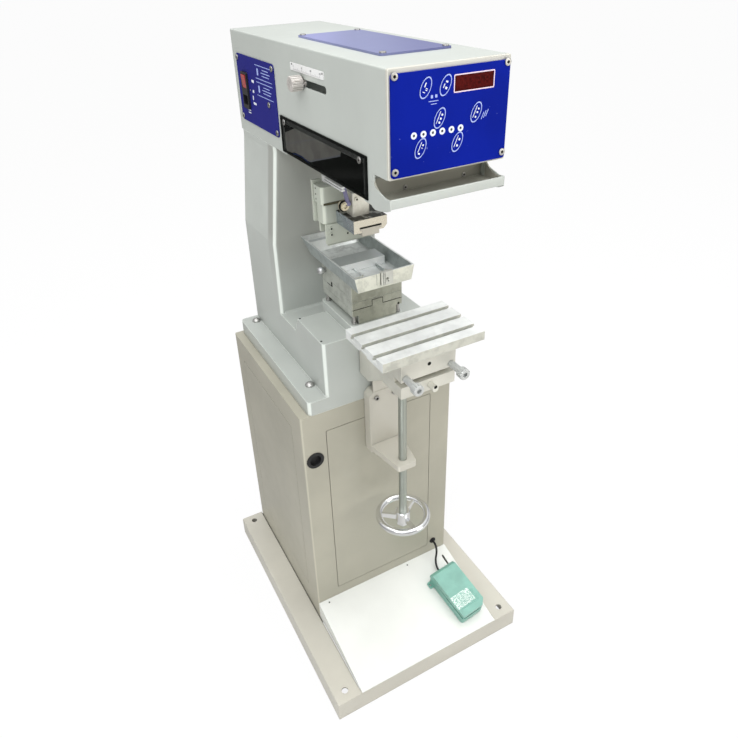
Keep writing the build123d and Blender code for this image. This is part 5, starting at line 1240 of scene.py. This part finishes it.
def make_ringed_fitting():
    """A turned elbow that faces the front, screwed into the left side of the ram's foot."""
    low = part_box("pad_ram")[0]
    radius, base, rib_height, gap = 0.0062, 0.0080, 0.0030, 0.0015
    fitting = round_bar(36, radius, base)
    for rib, wide in enumerate((0.0104, 0.0080)):
        top = base + (rib_height + gap) * rib
        share = wide / radius
        pick(fitting, lambda centre, normal: normal.z > 0.99 and centre.z > top - 0.0006)
        extrude(0.0)
        widen(share, top)
        extrude(rib_height)
        extrude(0.0)
        widen(1 / share, top)
        extrude(gap)
        close_edit()
    pick(fitting, lambda centre, normal: normal.z > 0.99 and centre.z > 0.0168)
    bpy.ops.mesh.inset(thickness=0.0024)
    extrude(-0.0030)
    close_edit(smooth=35)
    middle = Vector((low.x - 0.0125, low.y + 0.0220, low.z + 0.0205))
    fitting.data.transform(turned_to(middle, (0, -1, 0)))
    neck = fresh("cylinder", vertices=24, radius=0.0042, depth=0.0125)
    neck.data.transform(Matrix.Translation((low.x - 0.0060, middle.y - 0.0040, middle.z))
                        @ Matrix.Rotation(math.pi / 2, 4, "Y"))
    pick(neck, lambda centre, normal: abs(normal.x) > 0.99)
    bpy.ops.mesh.bevel(offset=0.0006, segments=2, affect="EDGES")
    close_edit(smooth=35)
    give(joined("ringed_fitting", fitting, neck), "cream brass", "pad_body")
    # Dark rings of painted shade on the fitting's front
    ring = ring_model(0.62)
    places = [on_front(middle.x, middle.z, size, size, thickness=0.0003, face=middle.y - 0.0111)
              for size in (0.0104, 0.0062)]
    stamped(ring, "fitting_ring_shade", places, "shade black", "pad_body")
    drop(ring)


def make_air_tube():
    """The stub of air tube that leans up from the fitting, with its collar."""
    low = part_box("pad_ram")[0]
    tube = round_bar(28, 0.0047, 0.007)
    pick(tube, facing_up)
    for border, height in ((0.0009, 0.030), (0.0012, -0.006)):
        bpy.ops.mesh.inset(thickness=border)
        extrude(height)
    close_edit(smooth=35)
    tube.name = "air_tube"
    tube.data.transform(Matrix.Translation((low.x - 0.0050, low.y + 0.0080, low.z + 0.0215))
                        @ Matrix.Rotation(math.radians(-14.0), 4, "Y"))
    give(tube, "air tube", "pad_body")


def make_doctor_arm():
    """Light double bar clamped on the left doctor rod, reaching forward over the ram's foot."""
    rods_low, rods_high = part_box("doctor_rods")
    radius = (rods_high.y - rods_low.y) / 2
    x, y = rods_low.x + radius, rods_low.y + radius
    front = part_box("pad_ram")[0].y
    clamp = block_piece("arm_clamp", (x - 0.0062, y - 0.0055, 1.0370), (x + 0.0055, y + 0.0060, 1.0490),
                        0.0010)
    bars = [block_piece("arm_bar", (x - 0.0062, front, base), (x + 0.0004, y - 0.0050, base + 0.0034), 0.0006)
            for base in (1.0388, 1.0436)]
    web = block_piece("arm_web", (x - 0.0045, front + 0.0006, 1.0400), (x - 0.0012, y - 0.0050, 1.0450),
                      0.0004)
    give(joined("doctor_arm", clamp, web, *bars), "light aluminium", "doctor_body")


# Thin pieces behind the left window, as outlines of (minus Y, Z), and the cheeks of the trough
FOIL = 0.0001
WINDOW_RIM = 0.0020
HOUSING = [(-0.0700, 1.0925), (-0.0700, 1.1215), (-0.0338, 1.1340), (0.0100, 1.1480), (0.1590, 1.1480),
           (0.1546, 1.1353), (0.0303, 1.0966), (0.0040, 1.0990), (-0.0250, 1.0978), (-0.0450, 1.0925)]
HOUSING_SILL = [(0.0303, 1.0966), (0.1546, 1.1353), (0.1540, 1.1323), (0.0420, 1.0972)]
HOUSING_SEAM = [(-0.0700, 1.1010), (-0.0700, 1.1022), (0.0936, 1.1480), (0.0936, 1.1468)]
INNER_TUBE = [(-0.0440, 1.0930), (-0.0160, 1.0985), (0.0090, 1.0992), (0.0300, 1.0962), (0.0470, 1.0922),
              (0.0400, 1.0922), (0.0270, 1.0938), (0.0090, 1.0962), (-0.0160, 1.0952), (-0.0340, 1.0922)]
TROUGH_CHEEK = [(0.2458, 1.1190), (0.2530, 1.1186), (0.2600, 1.1140), (0.2750, 1.1098), (0.2880, 1.1066),
                (0.2992, 1.1074), (0.2992, 1.0925), (0.2900, 1.0885), (0.2735, 1.0845), (0.2585, 1.0822),
                (0.2500, 1.0842), (0.2458, 1.0880)]
CHEEK_SHEET = 0.0014


class PADPRINTER_OT_window_inside(bpy.types.Operator):
    """Sheets of painted shade behind the smoked windows, and the grey housing and the air tube that show
    through the left one
    """
    bl_idname = "pad_printer.window_inside"
    bl_label = "Behind the windows"

    def execute(self, context):
        low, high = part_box("side_windows")
        behind = low.x + 0.0025
        ends = (-high.y + WINDOW_RIM, -low.y - WINDOW_RIM)
        base, top = low.z + WINDOW_RIM, high.z - WINDOW_RIM
        outline = [(ends[0], base), (ends[1], base), (ends[1], top), (ends[0], top)]
        # Near black sheets behind both windows stand for the shade inside the head
        for side, x in (("left", behind), ("right", -behind)):
            shade_card = cut_sheet(f"window_shade_card_{side}", outline, left_plane(x), FOIL)
            give(shade_card, "flat black")
        housing = cut_sheet("housing_behind_window", HOUSING, left_plane(behind - 2 * FOIL), FOIL)
        give(housing, "housing grey")
        lines = [cut_sheet("housing_line", line, left_plane(behind - 3 * FOIL), FOIL / 2)
                 for line in (HOUSING_SILL, HOUSING_SEAM)]
        give(joined("housing_lines", *lines), "white ink")
        tube = cut_sheet("tube_behind_window", INNER_TUBE, left_plane(behind - 4 * FOIL), FOIL / 2)
        give(tube, "tube blue")
        bar = bar_model()
        line = on_left(low.y + 0.0048, (low.z + high.z) / 2, 0.0012, high.z - low.z - 0.004, FOIL, low.x)
        stamped(bar, "window_front_line", [line], "flat black")
        drop(bar)
        return {"FINISHED"}


class PADPRINTER_OT_trough_edge(bpy.types.Operator):
    """Folded front lip and deeper end cheeks of the catch trough"""
    bl_idname = "pad_printer.trough_edge"
    bl_label = "Trough edge"

    def execute(self, context):
        low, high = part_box("trough_tray")
        lip = block_piece("trough_lip", (low.x + 0.0003, low.y - 0.0005, 1.0938),
                          (high.x - 0.0003, low.y + 0.0016, 1.1074), 0.0007)
        cheeks = [cut_sheet("cheek", TROUGH_CHEEK, left_plane(x), CHEEK_SHEET)
                  for x in (low.x + 0.0008, high.x + 0.0006)]
        give(joined("trough_rim", lip, *cheeks), "sheet paint")
        return {"FINISHED"}


class PADPRINTER_OT_small_screws(bpy.types.Operator):
    """Small screws, and painted shade in the holes, slots and gaps of the trough, scale, inlet, doctor,
    stage, deck and foot switch
    """
    bl_idname = "pad_printer.small_screws"
    bl_label = "Small screws"

    def execute(self, context):
        model = socket_screw_model(0.0030, 0.0012, 0.0014, 0.0009, 0.0004)
        dot = dot_model()
        for name, finish, body, size, node, heading, starts in SMALL_SCREWS:
            spots = [seat(node, start, heading) @ Matrix.Scale(size, 4) for start in starts]
            stamped(model, name, spots, finish, body)
        # Dark discs of painted shade in holes and sockets
        for name, body, radius, node, heading, starts in HOLE_SHADES:
            spots = [seat(node, start, heading) @ Matrix.Diagonal((radius, radius, HOLE_SHADE_THICKNESS, 1.0))
                     for start in starts]
            stamped(dot, name, spots, "shade black", body)
        bar = bar_model()
        for name, finish, body, places in seams():
            stamped(bar, name, places, finish, body)
        drop(model, dot, bar)
        return {"FINISHED"}


def seams():
    """Painted shade in the slots, seams and gaps of the stage, the doctor, the tray clamp and the pad block.
    """
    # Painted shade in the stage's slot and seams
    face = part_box("stage_top")[0].x
    yield "stage_slot_shade", "shade black", "stage_x_body", [on_left(0.0040, 0.8440, 0.0050, 0.0100, face=face),
                                                      on_left(0.0140, 0.8398, 0.0200, 0.0014, face=face)]
    low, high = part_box("stage_base")
    tongue = high.z - 0.0120
    middle, half, line = 0.0030, 0.0115, 0.0009
    left, right = middle - half, middle + half
    marks = [((low.x + left) / 2, tongue - 0.0004, left - low.x, line),
             ((high.x + right) / 2, tongue - 0.0004, high.x - right, line),
             (left + 0.0004, tongue + 0.0060, line, 0.0120), (right - 0.0004, tongue + 0.0060, line, 0.0120),
             (middle, high.z - 0.0005, 2 * half, line)]
    yield "stage_seam_shadow", "shade black", "frame", [on_front(*mark, face=low.y) for mark in marks]
    # Painted shadow under the doctor's upper tier
    face = seat("doctor_block", (-0.0130, -0.02, 1.0060), BACK).translation.y
    yield "tier_seam_shadow", "olive shadow", "doctor_body", [on_front(-0.0135, 1.0005, 0.0800, 0.0050, face=face)]
    low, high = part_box("tray_clamp")
    middle, tall = (low.z + high.z) / 2, high.z - low.z - 0.003
    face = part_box("ink_tray")[0].y
    yield "clamp_gap_shade", "shade black", "stage_x_body", [
        on_front(x, middle, width, tall, face=face)
        for x, width in ((low.x - 0.0006, 0.0006), (low.x - 0.0078, 0.0005), (high.x + 0.0008, 0.0009))]
    low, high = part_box("pad_insert_plate")
    yield "slot_shadow", "shade black", "pad_body", [
        on_front((low.x + high.x) / 2, high.z - 0.0002, high.x - low.x + 0.002, 0.0026,
                 face=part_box("pad_holder_block")[0].y)]


# Ways from a start point to the face that a screw or hole stands on
BACK = (0, 1, 0)
RIGHT = (1, 0, 0)
DOWN = (0, 0, -1)

# Small screws as (name, finish, body, size, node, way, start points)
SMALL_SCREWS = [
    ("trough_screws", "zinc", "frame", 1.15, "trough_tray", BACK,
     [(0.0618, -0.280, 1.1020), (-0.0394, -0.280, 1.1013)]),
    ("inlet_screws", "zinc", "frame", 0.55, "side_plate", RIGHT,
     [(-0.13, 0.2537, 1.1720), (-0.13, 0.2127, 1.1720)]),
    ("foot_screw", "cream brass", "pad_body", 1.35, "pad_ram", BACK, [(-0.0152, -0.08, 1.0200)]),
    ("clamp_set_screw", "clamp aluminium", "stage_x_body", 0.95, "tray_clamp", BACK,
     [(0.0044, -0.15, 0.8883)]),
    ("nose_screw", "brass", "frame", 1.10, "pedal_base", BACK, [(0.1228, -0.32, 0.0750)]),
]

# Painted shade in holes as (name, body, radius, node, way, start points)
HOLE_SHADES = [
    ("scale_screws", "frame", 0.0016, "scale_plate", RIGHT,
     [(-0.13, 0.0016, 1.2425), (-0.13, -0.1100, 1.2420)]),
    ("doctor_holes", "doctor_body", 0.0019, "doctor_plate", BACK,
     [(-0.0080, -0.02, 0.9370), (-0.0420, -0.02, 0.9534), (-0.0420, -0.02, 0.9420)]),
    ("carrier_holes", "doctor_body", 0.0017, "doctor_block", RIGHT,
     [(-0.08, 0.0330, 1.0260), (-0.08, 0.0335, 1.0150), (-0.08, 0.0335, 1.0060)]),
    ("deck_holes", "frame", 0.0022, "cast_frame", DOWN, [(-0.1103, 0.0315, 0.80), (-0.1107, -0.0674, 0.80)]),
    ("bracket_sockets", "frame", 0.0026, "casting_screws", BACK,
     [(-0.0200, -0.16, 0.6360), (0.0200, -0.16, 0.6360)]),
    ("saddle_hole", "saddle_body", 0.0036, "saddle_block", BACK, [(0.0012, -0.32, 0.7933)]),
    ("stop_hole", "knee_body", 0.0034, "knee_block", BACK, [(0.0034, -0.32, 0.7547)]),
    ("stage_hole", "frame", 0.0024, "stage_base", BACK, [(0.0480, -0.12, 0.8135)]),
    ("tread_dimples", "frame", 0.0018, "tread_plate", DOWN,
     [(-0.1500, -0.0900, 0.12), (0.0600, -0.0900, 0.12)]),
]


class PADPRINTER_PT_panel(bpy.types.Panel):
    """All the steps that dress the machine"""
    bl_idname = "PADPRINTER_PT_panel"
    bl_label = "Pad Printer"
    bl_space_type = "VIEW_3D"
    bl_region_type = "UI"
    bl_category = "Pad Printer"

    def draw(self, context):
        looks = context.scene.pad_printer_looks
        for name in PadPrinterLooks.__annotations__:
            self.layout.prop(looks, name)
        for step in STEPS:
            self.layout.operator(step.bl_idname)


STEPS = (PADPRINTER_OT_stage, PADPRINTER_OT_cable, PADPRINTER_OT_finishes, PADPRINTER_OT_panel_print,
         PADPRINTER_OT_side_print, PADPRINTER_OT_screws, PADPRINTER_OT_air_fittings,
         PADPRINTER_OT_window_inside, PADPRINTER_OT_trough_edge, PADPRINTER_OT_small_screws)
CLASSES = (PadPrinterLooks,) + STEPS + (PADPRINTER_PT_panel,)


def register():
    for kind in CLASSES:
        bpy.utils.register_class(kind)
    bpy.types.Scene.pad_printer_looks = bpy.props.PointerProperty(type=PadPrinterLooks)


def unregister():
    del bpy.types.Scene.pad_printer_looks
    for kind in reversed(CLASSES):
        bpy.utils.unregister_class(kind)


def main():
    register()
    for step in STEPS:
        family, name = step.bl_idname.split(".")
        getattr(getattr(bpy.ops, family), name)()
    deselect()


if __name__ == "__main__":
    main()
